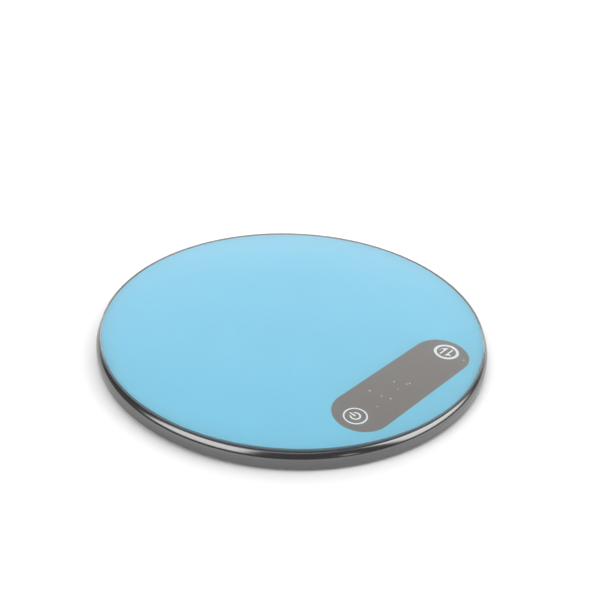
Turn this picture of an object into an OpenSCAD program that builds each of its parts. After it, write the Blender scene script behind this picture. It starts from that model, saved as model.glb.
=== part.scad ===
// Slim round digital kitchen scale: a glass platform over a shallow housing on load-cell feet.
// The origin is on the table below the middle of the scale, with +Z up and the window side at -Y.

/* [Body] */
// Outer diameter of the rim
body_d = 200; // [192:1:230]
// Height of the glass top above the table
body_h = 11; // [11:0.1:13]
// Height of the underside above the table
ground_gap = 1.5; // [1.3:0.1:1.8]
// Height of the rim's rounded shoulder
shoulder_h = 3.85; // [3.6:0.05:4.2]
// Radius of the rim's rounded shoulder
shoulder_r = 4.5; // [4.3:0.1:5.5]
// How far the rim's top edge lies below the glass top
rim_drop = 2.05; // [2.02:0.01:2.2]
// Width of the flat land on the rim's top edge
rim_land = 0.2; // [0.15:0.05:0.5]
// Radius of the rim's lower outside edge
base_round = 0.6; // [0.3:0.1:1]
// Thickness of the web that carries the glass
web_t = 1.4; // [1.2:0.1:1.6]
// Thickness of the bottom cover
cover_t = 1.2; // [1:0.1:1.4]

/* [Glass and print] */
// Thickness of the glass
glass_t = 2; // [1.8:0.1:2]
// Distance from the outside of the rim to the edge of the glass
glass_inset = 2; // [1.9:0.05:2.3]
// Width of the ground bevel round the glass
glass_bevel = 0.35; // [0.2:0.05:0.6]
// Clear margin between the print and the glass edge
print_margin = 1; // [0.5:0.1:3]
// Thickness of the ink on the back of the glass
ink_t = 0.1; // [0.05:0.01:0.15]
// Length of the dark window
window_l = 88; // [80:1:96]
// Width of the dark window
window_w = 27.3; // [24:0.1:28]
// Distance from the edge of the print to the window
window_margin = 11.8; // [9:0.1:14]
// Distance from each end of the window to the middle of its touch key
key_inset = 9.1; // [8:0.1:11]
// Outer diameter of a touch key ring
key_ring_d = 11.1; // [9:0.1:13]
// Line width of the power key's ring and of both symbols
key_line = 0.8; // [0.5:0.1:1]
// Outer diameter of the unit key's heavier ring
unit_ring_d = 12.4; // [10:0.1:13]
// Line width of the unit key's heavier ring
unit_ring_line = 1.5; // [0.8:0.1:1.8]
// Thickness of the adhesive tape under the glass
tape_t = 0.25; // [0.15:0.05:0.3]
// Width of the tape's set-back from the print edge and from the window
tape_margin = 1.5; // [1:0.1:3]

/* [Feet and load cells] */
// Distance from the outside of the rim to the middle of each foot
foot_inset = 23.8; // [23.4:0.1:28]
// Angle of each foot from the left-right line, in degrees
foot_angle = 38; // [34:1:42]
// Diameter of a foot cap
foot_d = 19; // [17:0.1:19.4]
// Diameter of a rubber foot pad
pad_d = 17; // [14:0.1:17.4]
// Thickness of a rubber foot pad
pad_t = 1.5; // [1.2:0.1:1.7]
// How far a pad stands out of its cap
pad_proud = 0.7; // [0.4:0.1:0.9]
// Upward travel of a foot at full load
foot_travel = 0.3; // [0.2:0.05:0.35]
// Length of a load cell plate
cell_l = 26; // [24:0.5:27]
// Width of a load cell plate
cell_w = 24; // [22:0.5:25]
// Thickness of a load cell plate
cell_t = 1.4; // [1:0.1:1.5]
// Height of a load cell plate above the table
cell_z = 4.6; // [4.5:0.05:4.7]
// Width of the load cell's bending tongue
tongue_w = 10; // [8:0.5:11]
// Width of the slot round the tongue
tongue_slot = 1.5; // [1:0.1:1.6]
// Thickness of the retainer under a load cell
retainer_t = 1; // [0.8:0.05:1.05]

/* [Battery] */
// Diameter of the coin cell
coin_d = 20; // [19.5:0.1:20.5]
// Height of the coin cell
coin_h = 3.2; // [2.5:0.1:3.3]
// Distance from the middle of the scale back to the coin cell
coin_y = 20; // [17:0.5:23]
// Length of the battery door, left to right
door_l = 26; // [26:0.5:30]
// Width of the battery door, front to rear
door_w = 27; // [26.5:0.5:30]
// Thickness of the battery door
door_t = 1; // [0.8:0.05:1]
// Corner radius of the battery door
door_corner = 1.5; // [0.5:0.1:3]
// Width of each hook on the battery door
hook_w = 4; // [3:0.1:5]

/* [Electronics] */
// Length of the circuit board
board_l = 88; // [87:0.5:89]
// Width of the circuit board
board_w = 26; // [25:0.5:26.5]
// Thickness of the circuit board
board_t = 1; // [0.8:0.1:1.2]
// Height of the circuit board's top face above the table
board_top = 5.6; // [5.5:0.05:5.8]
// Number of digits in the display
digit_count = 4; // [3:1:4]
// Distance between the display's digits
digit_pitch = 11; // [10:0.5:12]
// Height of a display digit
digit_h = 11; // [9:0.5:12]
// Width of a display digit
digit_w = 6; // [5:0.5:7]
// Width of a display segment
segment_w = 1.3; // [1:0.1:1.5]
// Diameter of a touch sensor pad
sensor_d = 9; // [7:0.5:10]
// Diameter of a wire
wire_d = 0.7; // [0.5:0.05:0.8]

/* [Fasteners and fits] */
// Number of ribs that seat the bottom cover
rib_count = 24; // [12:2:36]
// Thickness of the housing's ribs
rib_t = 1.2; // [0.8:0.1:1.6]
// Distance from the glass pocket's wall to the cover screws
screw_inset = 8.1; // [7.7:0.1:8.6]
// Diameter of a cover screw's head
screw_head_d = 4.2; // [3.6:0.1:4.4]
// Diameter of a cover screw's shank
screw_d = 2.3; // [2:0.1:2.4]
// Diameter of the small screws that hold the board and the retainers
small_screw_d = 1.9; // [1.6:0.1:2]
// Side gap between fixed pieces that fit together
fit_gap = 0.15; // [0.1:0.01:0.2]
// Side gap between a foot and the bottom cover
foot_gap = 0.4; // [0.3:0.05:0.5]

/* [Hidden] */
$fn = 96;
// Reach of a cutting shape past the face that it cuts
cut = 1;
// Thickness of a glue line
bond = 0.02;

// Heights of the layers, from the glass down
glass_bottom = body_h - glass_t;
ink_top = glass_bottom - bond;
ink_bottom = ink_top - ink_t;
tape_top = ink_bottom - bond;
web_top = tape_top - tape_t;
web_bottom = web_top - web_t;
rim_top = body_h - rim_drop;
cover_top = ground_gap + cover_t;

// Radii of the rim and of what sits inside it
body_r = body_d / 2;
turn_z = rim_top - shoulder_h;
shoulder_x = body_r - shoulder_r;
pocket_r = shoulder_x + sqrt(pow(shoulder_r, 2) - pow(shoulder_h, 2)) - rim_land;
glass_r = body_r - glass_inset;
print_r = glass_r - print_margin;
cover_r = pocket_r - fit_gap;

// Ribs inside the housing
rib_reach = 2;
rib_drop = 2;
ring_rib_r = 45;
spoke_angles = [0, 60, 75, 105, 120, 180];

// Cover screws
screw_angles = [-90, -15, 15, 90, 165, 195];
screw_circle_r = pocket_r - screw_inset;
screw_boss_r = 3;
screw_cup_r = 3.6;
screw_cup_h = 2.4;
screw_head_t = 1.35;
screw_head_depth = 1.6;
screw_len = 4.6;
screw_slot = 0.6;
pilot_gap = 0.05;

// Feet and load cells
foot_x = (body_r - foot_inset) * cos(foot_angle);
foot_y = (body_r - foot_inset) * sin(foot_angle);
foot_z = pad_proud;
foot_top = cell_z - 1.5;
foot_stem_r = 6;
foot_stem_gap = 0.6;
foot_button_r = 3;
foot_button_h = 0.3;
foot_collar_w = 2;
foot_collar_h = 0.5;
foot_chamfer = 0.4;
cell_top = cell_z + cell_t;
cell_rim = 4;
seat_wall = 1.5;
seat_ledge = 2.5;
seat_l = cell_l + 2 * seat_wall;
seat_w = cell_w + 2 * seat_wall;
// Where the seat's corner lies that comes nearest to the circuit board
seat_corner_x = foot_x - (seat_l * cos(foot_angle) + seat_w * sin(foot_angle)) / 2;
ear_r = 3;
// The ears stand towards the rim, clear of the circuit board
ear_x = cell_l / 2 - 4;
ear_y = cell_w / 2 + seat_wall + 0.4 * ear_r;
gauge_size = [6, 4, 0.35];
gauge_x = -cell_l / 2 + cell_rim + gauge_size[0] / 2;
wire_notch = 7;
FEET = [[-1, -1], [1, -1], [-1, 1], [1, 1]];

// Battery bay and door
bay_wall = 1;
bay_roof_t = 0.65;
door_gap = fit_gap;
door_top = ground_gap + door_t;
door_front = coin_y - door_w / 2;
door_rear = coin_y + door_w / 2;
shelf_z = door_top + 0.05;
coin_z = door_top + 0.27;
coin_top = coin_z + coin_h;
contact_t = 0.2;
contact_dimple = 0.1;
contact_w = 5;
tab_l = 1.6;
bay_top = coin_top + contact_dimple + contact_t;
tab_z = bay_top - 1;
bay_r = coin_d / 2 + 0.25;
bay_l = max(door_l + 2 * (door_gap + bay_wall), 2 * (bay_r + bay_wall));
bay_w = max(door_w + 2 * (door_gap + bay_wall), 2 * (bay_r + bay_wall));
hook_x = door_l / 2 - hook_w / 2 - 3;
hook_reach = 1.4;
hook_t = 0.6;
hook_gap = 0.15;
hook_room = 2.6;
latch_w = 8;
latch_slot = 0.6;
latch_l = 5;
latch_reach = 0.5;
latch_nose_t = 0.4;
grip_l = 10;
grip_w = 3.5;
grip_depth = 0.6;

// Circuit board and display
board_bottom = board_top - board_t;
board_gap = 0.5;
board_reach = pocket_r - rib_reach - board_gap;
board_post_r = 2;
board_post_x = board_l / 2 - 2.5;
board_post_y = board_w / 2 - 4;
small_head_r = small_screw_d;
small_head_t = 0.75;
small_screw_len = 2.1;
display_l = digit_pitch * (digit_count - 1) + digit_w + 6;
display_w = digit_h + 6;
diffuser_t = 0.2;
display_top = tape_top - diffuser_t - bond;
light_size = [1.6, 0.8, 0.6];
dot_d = 1.6;
segment_gap = 0.35;
chip_d = 9;
chip_h = 1.1;
part_size = [1.6, 0.8, 0.5];
part_rows = 2;
part_columns = 9;
part_pitch = 3;
part_inset = 14.5;
row_pitch = 9;
crystal_h = 1;
window_half = (window_l - window_w) / 2;
window_y = print_r - window_margin - window_w / 2;
key_x = window_l / 2 - key_inset;
opening_r = window_w / 2 - tape_margin;

// Wires
wire_pitch = 1.1;
wire_sides = 8;
wire_step = 360 / wire_sides;
wire_low = 4;
wire_top = cell_top + wire_d / 2 + 0.05;
board_wire_z = board_bottom - wire_d / 2 - bond;
board_edge_y = -window_y + board_w / 2;
solder_reach = 2;
front_wire_x = seat_corner_x - 5.5;
rear_wire_x = front_wire_x - 8.5;
battery_wire_x = 4;

// Two-dimensional outlines

module stadium(half, r) {
  translate([-half, 0]) circle(r = r);
  translate([half, 0]) circle(r = r);
  square([2 * half, 2 * r], center = true);
}

module rounded_rect(l, w, r) {
  square([l - 2 * r, w], center = true);
  square([l, w - 2 * r], center = true);
  for (x = [-1, 1]) {
    for (y = [-1, 1]) {
      translate([x * (l / 2 - r), y * (w / 2 - r)]) circle(r = r);
    }
  }
}

module ring_outline(d, line) {
  difference() {
    circle(d = d);
    circle(d = d - 2 * line);
  }
}

// Generic power symbol: an open circle with a bar in its gap
module power_outline(d, line) {
  difference() {
    ring_outline(d, line);
    translate([-1.5 * line, 0]) square([3 * line, d]);
  }
  translate([-line / 2, 0]) square([line, d * 0.62]);
}

// Generic exchange symbol: two arrows that point opposite ways
module exchange_outline(l, line) {
  for (a = [0, 180]) {
    rotate(a) translate([0, l * 0.2]) {
      translate([-l / 2, -line / 2]) square([l * 0.7, line]);
      polygon([[l * 0.1, -line / 2], [l / 2, -line / 2], [l * 0.1, l * 0.3]]);
    }
  }
}

module power_key_outline() {
  ring_outline(key_ring_d, key_line);
  power_outline(key_ring_d * 0.46, key_line);
}

module unit_key_outline() {
  ring_outline(unit_ring_d, unit_ring_line);
  exchange_outline(unit_ring_d * 0.56, key_line);
}

module at_key(side) {
  translate([side * key_x, -window_y]) children();
}

module at_window() {
  translate([0, -window_y]) children();
}

// Places for repeated pieces

module at_foot(corner) {
  translate([corner[0] * foot_x, corner[1] * foot_y, 0]) children();
}

// A load cell's own frame has +X pointing away from the middle of the scale
module at_cell(corner) {
  at_foot(corner) rotate(atan2(corner[1] * foot_y, corner[0] * foot_x)) children();
}

module at_cell_ears() {
  for (side = [-1, 1]) {
    translate([ear_x, side * ear_y, 0]) children();
  }
}

module at_cover_screws() {
  for (a = screw_angles) {
    rotate(a) translate([screw_circle_r, 0, 0]) children();
  }
}

module at_board_posts() {
  for (x = [-1, 1]) {
    for (y = [-1, 1]) {
      translate([x * board_post_x, y * board_post_y - window_y, 0]) children();
    }
  }
}

// Glass and its printed layers

module glass_platform() {
  color([0.75, 0.87, 0.88, 0.35]) rotate_extrude() polygon([
    [0, glass_bottom],
    [glass_r - glass_bevel, glass_bottom],
    [glass_r, glass_bottom + glass_bevel],
    [glass_r, body_h - glass_bevel],
    [glass_r - glass_bevel, body_h],
    [0, body_h]
  ]);
}

module blue_print() {
  color([0.2, 0.62, 0.8]) translate([0, 0, ink_bottom]) linear_extrude(ink_t) {
    difference() {
      circle(r = print_r);
      at_window() stadium(window_half, window_w / 2);
    }
  }
}

module window_tint() {
  color([0.16, 0.15, 0.15]) translate([0, 0, ink_bottom]) linear_extrude(ink_t) {
    difference() {
      at_window() stadium(window_half, window_w / 2);
      at_key(-1) power_key_outline();
      at_key(1) unit_key_outline();
    }
  }
}

module power_key_mark() {
  color("white") translate([0, 0, ink_bottom]) linear_extrude(ink_t) {
    at_key(-1) power_key_outline();
  }
}

module unit_key_mark() {
  color("white") translate([0, 0, ink_bottom]) linear_extrude(ink_t) {
    at_key(1) unit_key_outline();
  }
}

module glass_tape() {
  color([0.85, 0.85, 0.82]) translate([0, 0, web_top]) linear_extrude(tape_t) {
    difference() {
      circle(r = print_r - tape_margin);
      at_window() stadium(window_half, opening_r);
    }
  }
}

// Housing

module rim_outline() {
  translate([pocket_r, ground_gap]) square([body_r - pocket_r - base_round, base_round]);
  translate([pocket_r, ground_gap + base_round]) {
    square([body_r - pocket_r, turn_z - ground_gap - base_round]);
  }
  translate([body_r - base_round, ground_gap + base_round]) circle(r = base_round);
  intersection() {
    translate([shoulder_x, turn_z]) circle(r = shoulder_r);
    translate([pocket_r, turn_z]) square([shoulder_r, rim_top - turn_z]);
  }
}

module cell_seat() {
  difference() {
    union() {
      translate([-seat_l / 2, -seat_w / 2, cell_z]) cube([seat_l, seat_w, web_bottom - cell_z + bond]);
      at_cell_ears() translate([0, 0, cell_z]) cylinder(r = ear_r, h = web_bottom - cell_z + bond);
    }
    translate([-cell_l / 2 - fit_gap, -cell_w / 2 - fit_gap, cell_z - cut]) {
      cube([cell_l + 2 * fit_gap, cell_w + 2 * fit_gap, cell_t + cut]);
    }
    translate([-cell_l / 2 + seat_ledge, -cell_w / 2 + seat_ledge, cell_z]) {
      cube([cell_l - 2 * seat_ledge, cell_w - 2 * seat_ledge, web_bottom - cell_z]);
    }
    translate([-seat_l / 2 - cut, -wire_notch / 2, cell_top]) {
      cube([seat_l / 2, wire_notch, web_bottom - cell_top]);
    }
    at_cell_ears() translate([0, 0, cell_z - cut]) {
      cylinder(d = small_screw_d + 2 * pilot_gap, h = small_screw_len + cut + pilot_gap);
    }
  }
}

module shell_ribs() {
  for (i = [0 : rib_count - 1]) {
    rotate((i + 0.5) * 360 / rib_count) {
      translate([pocket_r - rib_reach, -rib_t / 2, cover_top]) {
        cube([rib_reach + bond, rib_t, web_bottom - cover_top + bond]);
      }
    }
  }
  for (a = spoke_angles) {
    rotate(a) translate([ring_rib_r, -rib_t / 2, web_bottom - rib_drop]) {
      cube([pocket_r - rib_reach - ring_rib_r, rib_t, rib_drop + bond]);
    }
  }
  difference() {
    translate([0, 0, web_bottom - rib_drop]) cylinder(r = ring_rib_r + rib_t, h = rib_drop + bond);
    translate([0, 0, web_bottom - rib_drop - cut]) cylinder(r = ring_rib_r, h = rib_drop + bond + 2 * cut);
  }
}

module upper_shell() {
  color([0.09, 0.09, 0.1]) difference() {
    union() {
      rotate_extrude() {
        rim_outline();
        translate([0, web_bottom]) square([pocket_r, web_t]);
      }
      shell_ribs();
      for (corner = FEET) {
        at_cell(corner) cell_seat();
      }
      at_cover_screws() {
        translate([0, 0, ground_gap + screw_cup_h]) {
          cylinder(r = screw_boss_r, h = web_bottom - ground_gap - screw_cup_h + bond);
        }
      }
      at_board_posts() {
        translate([0, 0, board_top]) cylinder(r = board_post_r, h = web_bottom - board_top + bond);
      }
    }
    at_window() translate([0, 0, web_bottom - cut]) linear_extrude(web_t + 2 * cut) {
      stadium(window_half, opening_r);
    }
    at_cover_screws() {
      translate([0, 0, ground_gap]) cylinder(d = screw_d + 2 * pilot_gap, h = screw_head_depth + screw_len);
    }
    at_board_posts() {
      translate([0, 0, board_bottom - cut]) {
        cylinder(d = small_screw_d + 2 * pilot_gap, h = small_screw_len + cut + pilot_gap);
      }
    }
  }
}

module screw_cup() {
  translate([0, 0, ground_gap]) cylinder(r = screw_cup_r, h = screw_cup_h);
}

module battery_bay() {
  translate([-bay_l / 2, coin_y - bay_w / 2, ground_gap]) {
    cube([bay_l, bay_w, bay_top + bay_roof_t - ground_gap]);
  }
}

module hook_slots() {
  for (side = [-1, 1]) {
    translate([side * hook_x - hook_w / 2 - 2 * fit_gap, door_front - hook_room, cover_top]) {
      cube([hook_w + 4 * fit_gap, 2 * hook_room, hook_room]);
    }
    translate([side * hook_x - hook_w / 2 - 2 * fit_gap, door_front - door_gap, shelf_z - bond]) {
      cube([hook_w + 4 * fit_gap, hook_room + door_gap, hook_room]);
    }
  }
}

module bottom_cover() {
  color([0.13, 0.13, 0.14]) difference() {
    union() {
      translate([0, 0, ground_gap]) cylinder(r = cover_r, h = cover_t);
      battery_bay();
      at_cover_screws() screw_cup();
      for (corner = FEET) {
        at_foot(corner) translate([0, 0, ground_gap]) {
          cylinder(r = foot_d / 2 + foot_gap + foot_collar_w, h = cover_t + foot_collar_h);
        }
      }
    }
    for (corner = FEET) {
      at_foot(corner) translate([0, 0, ground_gap - cut]) {
        cylinder(r = foot_d / 2 + foot_gap, h = cover_t + foot_collar_h + 2 * cut);
      }
    }
    at_cover_screws() {
      translate([0, 0, ground_gap - cut]) {
        cylinder(d = screw_head_d + 2 * fit_gap, h = screw_head_depth + cut);
        cylinder(d = screw_d + 2 * fit_gap, h = screw_cup_h + 2 * cut);
      }
    }
    translate([0, coin_y, ground_gap - cut]) linear_extrude(shelf_z - ground_gap + cut) {
      rounded_rect(door_l + 2 * door_gap, door_w + 2 * door_gap, door_corner);
    }
    translate([0, coin_y, ground_gap]) cylinder(r = bay_r, h = bay_top - ground_gap);
    hook_slots();
    positive_contact_slot();
    negative_contact_slot();
    translate([-grip_l / 2, door_rear, ground_gap - cut]) cube([grip_l, grip_w, grip_depth + cut]);
    translate([-latch_w / 4 - fit_gap, door_rear, door_top - latch_nose_t - bond]) {
      cube([latch_w / 2 + 2 * fit_gap, latch_reach + fit_gap, latch_nose_t + bond + shelf_z - door_top]);
    }
  }
}

module cover_screws() {
  color([0.6, 0.6, 0.62]) at_cover_screws() {
    difference() {
      translate([0, 0, ground_gap + screw_head_depth - screw_head_t]) {
        cylinder(d = screw_head_d, h = screw_head_t);
        cylinder(d = screw_d, h = screw_head_t + screw_len - 2 * pilot_gap);
      }
      for (a = [0, 90]) {
        rotate(a) translate([-screw_head_d * 0.35, -screw_slot / 2, ground_gap]) {
          cube([screw_head_d * 0.7, screw_slot, screw_head_depth - screw_head_t / 2]);
        }
      }
    }
  }
}

// Battery, its contacts and its door

module battery_door() {
  color([0.13, 0.13, 0.14]) {
    difference() {
      translate([0, coin_y, ground_gap]) linear_extrude(door_t) rounded_rect(door_l, door_w, door_corner);
      for (side = [-1, 1]) {
        translate([side * (latch_w + latch_slot) / 2 - latch_slot / 2, door_rear - latch_l, ground_gap]) {
          translate([0, 0, -cut]) cube([latch_slot, latch_l + cut, door_t + 2 * cut]);
        }
      }
    }
    translate([-latch_w / 4, door_rear - bond, door_top - latch_nose_t]) {
      cube([latch_w / 2, latch_reach + bond, latch_nose_t]);
    }
    for (side = [-1, 1]) {
      translate([side * hook_x - hook_w / 2, door_front, door_top - bond]) {
        cube([hook_w, hook_t, cover_top + hook_gap + hook_t - door_top + bond]);
      }
      translate([side * hook_x - hook_w / 2, door_front - hook_reach, cover_top + hook_gap]) {
        cube([hook_w, hook_reach + hook_t, hook_t]);
      }
    }
    translate([0, coin_y, door_top - bond]) difference() {
      cylinder(d = coin_d / 2, h = coin_z - door_top);
      translate([0, 0, -cut]) cylinder(d = coin_d / 2 - 2 * rib_t, h = coin_z - door_top + 2 * cut);
    }
  }
}

module coin_cell() {
  lid_r = coin_d / 2 - 1.3;
  lid_step = 0.4;
  color([0.75, 0.75, 0.77]) translate([0, coin_y, coin_z]) {
    cylinder(d = coin_d, h = coin_h - lid_step);
    cylinder(r = lid_r, h = coin_h);
  }
}

module positive_contact_slot() {
  translate([bay_r - cut, coin_y - contact_w / 2 - fit_gap, shelf_z]) {
    cube([contact_t + 2 * fit_gap + cut, contact_w + 2 * fit_gap, bay_top - shelf_z]);
  }
  translate([bay_r, coin_y - contact_w / 4 - fit_gap, tab_z - fit_gap]) {
    cube([bay_l, contact_w / 2 + 2 * fit_gap, bay_top - tab_z + fit_gap]);
  }
}

module positive_contact() {
  color([0.8, 0.78, 0.72]) {
    translate([coin_d / 2 + pilot_gap, coin_y - contact_w / 2, coin_z]) {
      cube([contact_t + bay_r - coin_d / 2, contact_w, coin_h - 0.4]);
    }
    translate([coin_d / 2 + pilot_gap, coin_y - contact_w / 4, tab_z]) {
      cube([bay_l / 2 + tab_l - coin_d / 2 - pilot_gap, contact_w / 2, contact_t]);
    }
  }
}

module negative_contact_slot() {
  translate([-contact_w / 2 - fit_gap, coin_y - bay_w, bay_top - contact_t - contact_dimple]) {
    cube([contact_w + 2 * fit_gap, bay_w, contact_t + contact_dimple]);
  }
}

module negative_contact() {
  color([0.8, 0.78, 0.72]) {
    translate([-contact_w / 2, coin_y - bay_w / 2 - tab_l, bay_top - contact_t]) {
      cube([contact_w, bay_w / 2 + tab_l + coin_d / 4, contact_t]);
    }
    for (y = [-coin_d / 5, 0, coin_d / 5]) {
      translate([0, coin_y + y, coin_top]) cylinder(d = contact_w / 3, h = contact_dimple + bond);
    }
  }
}

// Circuit board and display

module main_board() {
  color([0.1, 0.35, 0.2]) difference() {
    intersection() {
      at_window() translate([-board_l / 2, -board_w / 2, board_bottom]) {
        cube([board_l, board_w, board_t]);
      }
      translate([0, 0, board_bottom]) cylinder(r = board_reach, h = board_t);
    }
    for (corner = FEET) {
      at_cell(corner) translate([0, 0, board_bottom - cut]) linear_extrude(board_t + 2 * cut) {
        square([seat_l + 2 * board_gap, seat_w + 2 * board_gap], center = true);
      }
    }
    at_board_posts() {
      translate([0, 0, board_bottom - cut]) {
        cylinder(d = small_screw_d + 2 * fit_gap, h = board_t + 2 * cut);
      }
    }
  }
}

// A small cross-slotted screw whose head's upper face lies at the origin
module small_screw() {
  difference() {
    union() {
      translate([0, 0, -small_head_t]) cylinder(r = small_head_r, h = small_head_t);
      translate([0, 0, -small_head_t / 2]) {
        cylinder(d = small_screw_d, h = small_head_t / 2 + small_screw_len);
      }
    }
    for (a = [0, 90]) {
      rotate(a) translate([-small_head_r * 0.7, -screw_slot / 2, -small_head_t - cut]) {
        cube([small_head_r * 1.4, screw_slot, small_head_t / 2 + cut]);
      }
    }
  }
}

module board_screws() {
  color([0.6, 0.6, 0.62]) at_board_posts() {
    translate([0, 0, board_bottom]) small_screw();
  }
}

module controller_chip() {
  dome_r = (pow(chip_d / 2, 2) + pow(chip_h, 2)) / (2 * chip_h);
  color([0.05, 0.05, 0.05]) translate([-digit_pitch, -window_y, board_bottom]) intersection() {
    translate([0, 0, dome_r - chip_h]) sphere(r = dome_r);
    translate([0, 0, -chip_h - cut]) cylinder(d = chip_d, h = chip_h + cut);
  }
}

module board_parts() {
  color([0.75, 0.6, 0.4]) {
    for (row = [0 : part_rows - 1]) {
      for (column = [0 : part_columns - 1]) {
        part_x = board_l / 2 - part_inset - column * part_pitch;
        translate([part_x, -window_y + (row - 0.5) * row_pitch, board_bottom]) {
          mirror([0, 0, 1]) cube(part_size);
        }
      }
    }
  }
  color([0.7, 0.7, 0.7]) translate([digit_pitch, -window_y, board_bottom - crystal_h]) {
    linear_extrude(crystal_h) stadium(2 * crystal_h, 1.2 * crystal_h);
  }
}

// The seven bars of one digit, and the point at its lower right
module digit_bars() {
  bar_x = digit_w - 2 * segment_w - 2 * segment_gap;
  bar_y = (digit_h - segment_w) / 2 - 2 * segment_gap;
  for (y = [-1, 0, 1]) {
    translate([0, y * (digit_h - segment_w) / 2]) square([bar_x, segment_w], center = true);
  }
  for (x = [-1, 1]) {
    for (y = [-1, 1]) {
      translate([x * (digit_w - segment_w) / 2, y * (digit_h - segment_w) / 4]) {
        square([segment_w, bar_y], center = true);
      }
    }
  }
}

module at_digits() {
  for (i = [0 : digit_count - 1]) {
    translate([(i - (digit_count - 1) / 2) * digit_pitch, -window_y]) children();
  }
}

module at_point() {
  translate([digit_w / 2 + dot_d * 0.9, -(digit_h - dot_d) / 2]) children();
}

module display_frame() {
  color([0.92, 0.92, 0.9]) translate([0, 0, board_top]) linear_extrude(display_top - board_top) {
    difference() {
      at_window() square([display_l, display_w], center = true);
      at_digits() {
        digit_bars();
        at_point() circle(d = dot_d);
      }
    }
  }
}

module light(turn) {
  rotate(turn) translate([-light_size[0] / 2, -light_size[1] / 2]) {
    square([light_size[0], light_size[1]]);
  }
}

module segment_lights() {
  color([0.95, 0.9, 0.6]) translate([0, 0, board_top]) linear_extrude(light_size[2]) {
    at_digits() {
      for (y = [-1, 0, 1]) {
        translate([0, y * (digit_h - segment_w) / 2]) light(0);
      }
      for (x = [-1, 1]) {
        for (y = [-1, 1]) {
          translate([x * (digit_w - segment_w) / 2, y * (digit_h - segment_w) / 4]) light(90);
        }
      }
      at_point() square(light_size[1], center = true);
    }
  }
}

module display_diffuser() {
  color([0.85, 0.85, 0.85, 0.8]) translate([0, 0, display_top + bond / 2]) linear_extrude(diffuser_t) {
    at_window() square([display_l, display_w], center = true);
  }
}

module touch_sensor_pads() {
  color([0.25, 0.25, 0.27]) {
    for (side = [-1, 1]) {
      at_key(side) translate([0, 0, board_top]) cylinder(d = sensor_d, h = ink_bottom - bond - board_top);
    }
  }
}

// Load cells

// A stamped steel plate with a slot that leaves a bending tongue in its middle
module load_cell(corner) {
  slot_end = cell_l / 2 - cell_rim;
  slot_w = tongue_w + 2 * tongue_slot;
  color([0.7, 0.71, 0.72]) at_cell(corner) translate([0, 0, cell_z]) linear_extrude(cell_t) {
    difference() {
      square([cell_l, cell_w], center = true);
      difference() {
        translate([-slot_end, -slot_w / 2]) square([2 * slot_end, slot_w]);
        translate([-slot_end - cut, -tongue_w / 2]) {
          square([2 * slot_end - tongue_slot + cut, tongue_w]);
        }
      }
    }
  }
}

module load_cell_front_left() {
  load_cell(FEET[0]);
}

module load_cell_front_right() {
  load_cell(FEET[1]);
}

module load_cell_rear_left() {
  load_cell(FEET[2]);
}

module load_cell_rear_right() {
  load_cell(FEET[3]);
}

module strain_gauges() {
  color([0.95, 0.95, 0.93]) {
    for (corner = FEET) {
      at_cell(corner) translate([gauge_x - gauge_size[0] / 2, -gauge_size[1] / 2, cell_top]) {
        cube(gauge_size);
      }
    }
  }
}

module retainer() {
  translate([0, 0, cell_z - retainer_t]) difference() {
    union() {
      translate([-seat_l / 2, -seat_w / 2, 0]) cube([seat_l, seat_w, retainer_t]);
      at_cell_ears() cylinder(r = ear_r, h = retainer_t);
    }
    translate([0, 0, -cut]) cylinder(r = foot_stem_r + foot_stem_gap, h = retainer_t + 2 * cut);
    at_cell_ears() {
      translate([0, 0, -cut]) cylinder(d = small_screw_d + 2 * fit_gap, h = retainer_t + 2 * cut);
    }
  }
}

module cell_retainers() {
  color([0.85, 0.85, 0.83]) {
    for (corner = FEET) {
      at_cell(corner) retainer();
    }
  }
}

module retainer_screws() {
  color([0.6, 0.6, 0.62]) {
    for (corner = FEET) {
      at_cell(corner) at_cell_ears() translate([0, 0, cell_z - retainer_t]) small_screw();
    }
  }
}

// Feet

module foot_cap(corner) {
  color([0.14, 0.14, 0.15]) at_foot(corner) rotate_extrude() polygon([
    [0, pad_t],
    [pad_d / 2 + pilot_gap, pad_t],
    [pad_d / 2 + pilot_gap, foot_z],
    [foot_d / 2 - foot_chamfer, foot_z],
    [foot_d / 2, foot_z + foot_chamfer],
    [foot_d / 2, foot_top],
    [foot_stem_r, foot_top],
    [foot_stem_r, cell_z - foot_button_h],
    [foot_button_r, cell_z - foot_button_h],
    [foot_button_r, cell_z],
    [0, cell_z]
  ]);
}

module foot_cap_front_left() {
  foot_cap(FEET[0]);
}

module foot_cap_front_right() {
  foot_cap(FEET[1]);
}

module foot_cap_rear_left() {
  foot_cap(FEET[2]);
}

module foot_cap_rear_right() {
  foot_cap(FEET[3]);
}

// A rubber pad with a chamfered rim and two shallow grip grooves
module foot_pad(corner) {
  groove_d = 0.3;
  groove_w = 0.8;
  color([0.2, 0.2, 0.21]) at_foot(corner) rotate_extrude() difference() {
    polygon([
      [0, 0],
      [pad_d / 2 - foot_chamfer, 0],
      [pad_d / 2, foot_chamfer],
      [pad_d / 2, pad_t],
      [0, pad_t]
    ]);
    for (r = [pad_d * 0.2, pad_d * 0.34]) {
      translate([r, -cut]) square([groove_w, cut + groove_d]);
    }
  }
}

module foot_pad_front_left() {
  foot_pad(FEET[0]);
}

module foot_pad_front_right() {
  foot_pad(FEET[1]);
}

module foot_pad_rear_left() {
  foot_pad(FEET[2]);
}

module foot_pad_rear_right() {
  foot_pad(FEET[3]);
}

// Wires

function unit(v) = v / norm(v);

// The way that a route runs at one of its points, halfway between the stretches that meet there
function heading(route, i) =
  let (
    arriving = i > 0 ? unit(route[i] - route[i - 1]) : [0, 0, 0],
    leaving = i < len(route) - 1 ? unit(route[i + 1] - route[i]) : [0, 0, 0]
  )
  unit(arriving + leaving);

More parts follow.
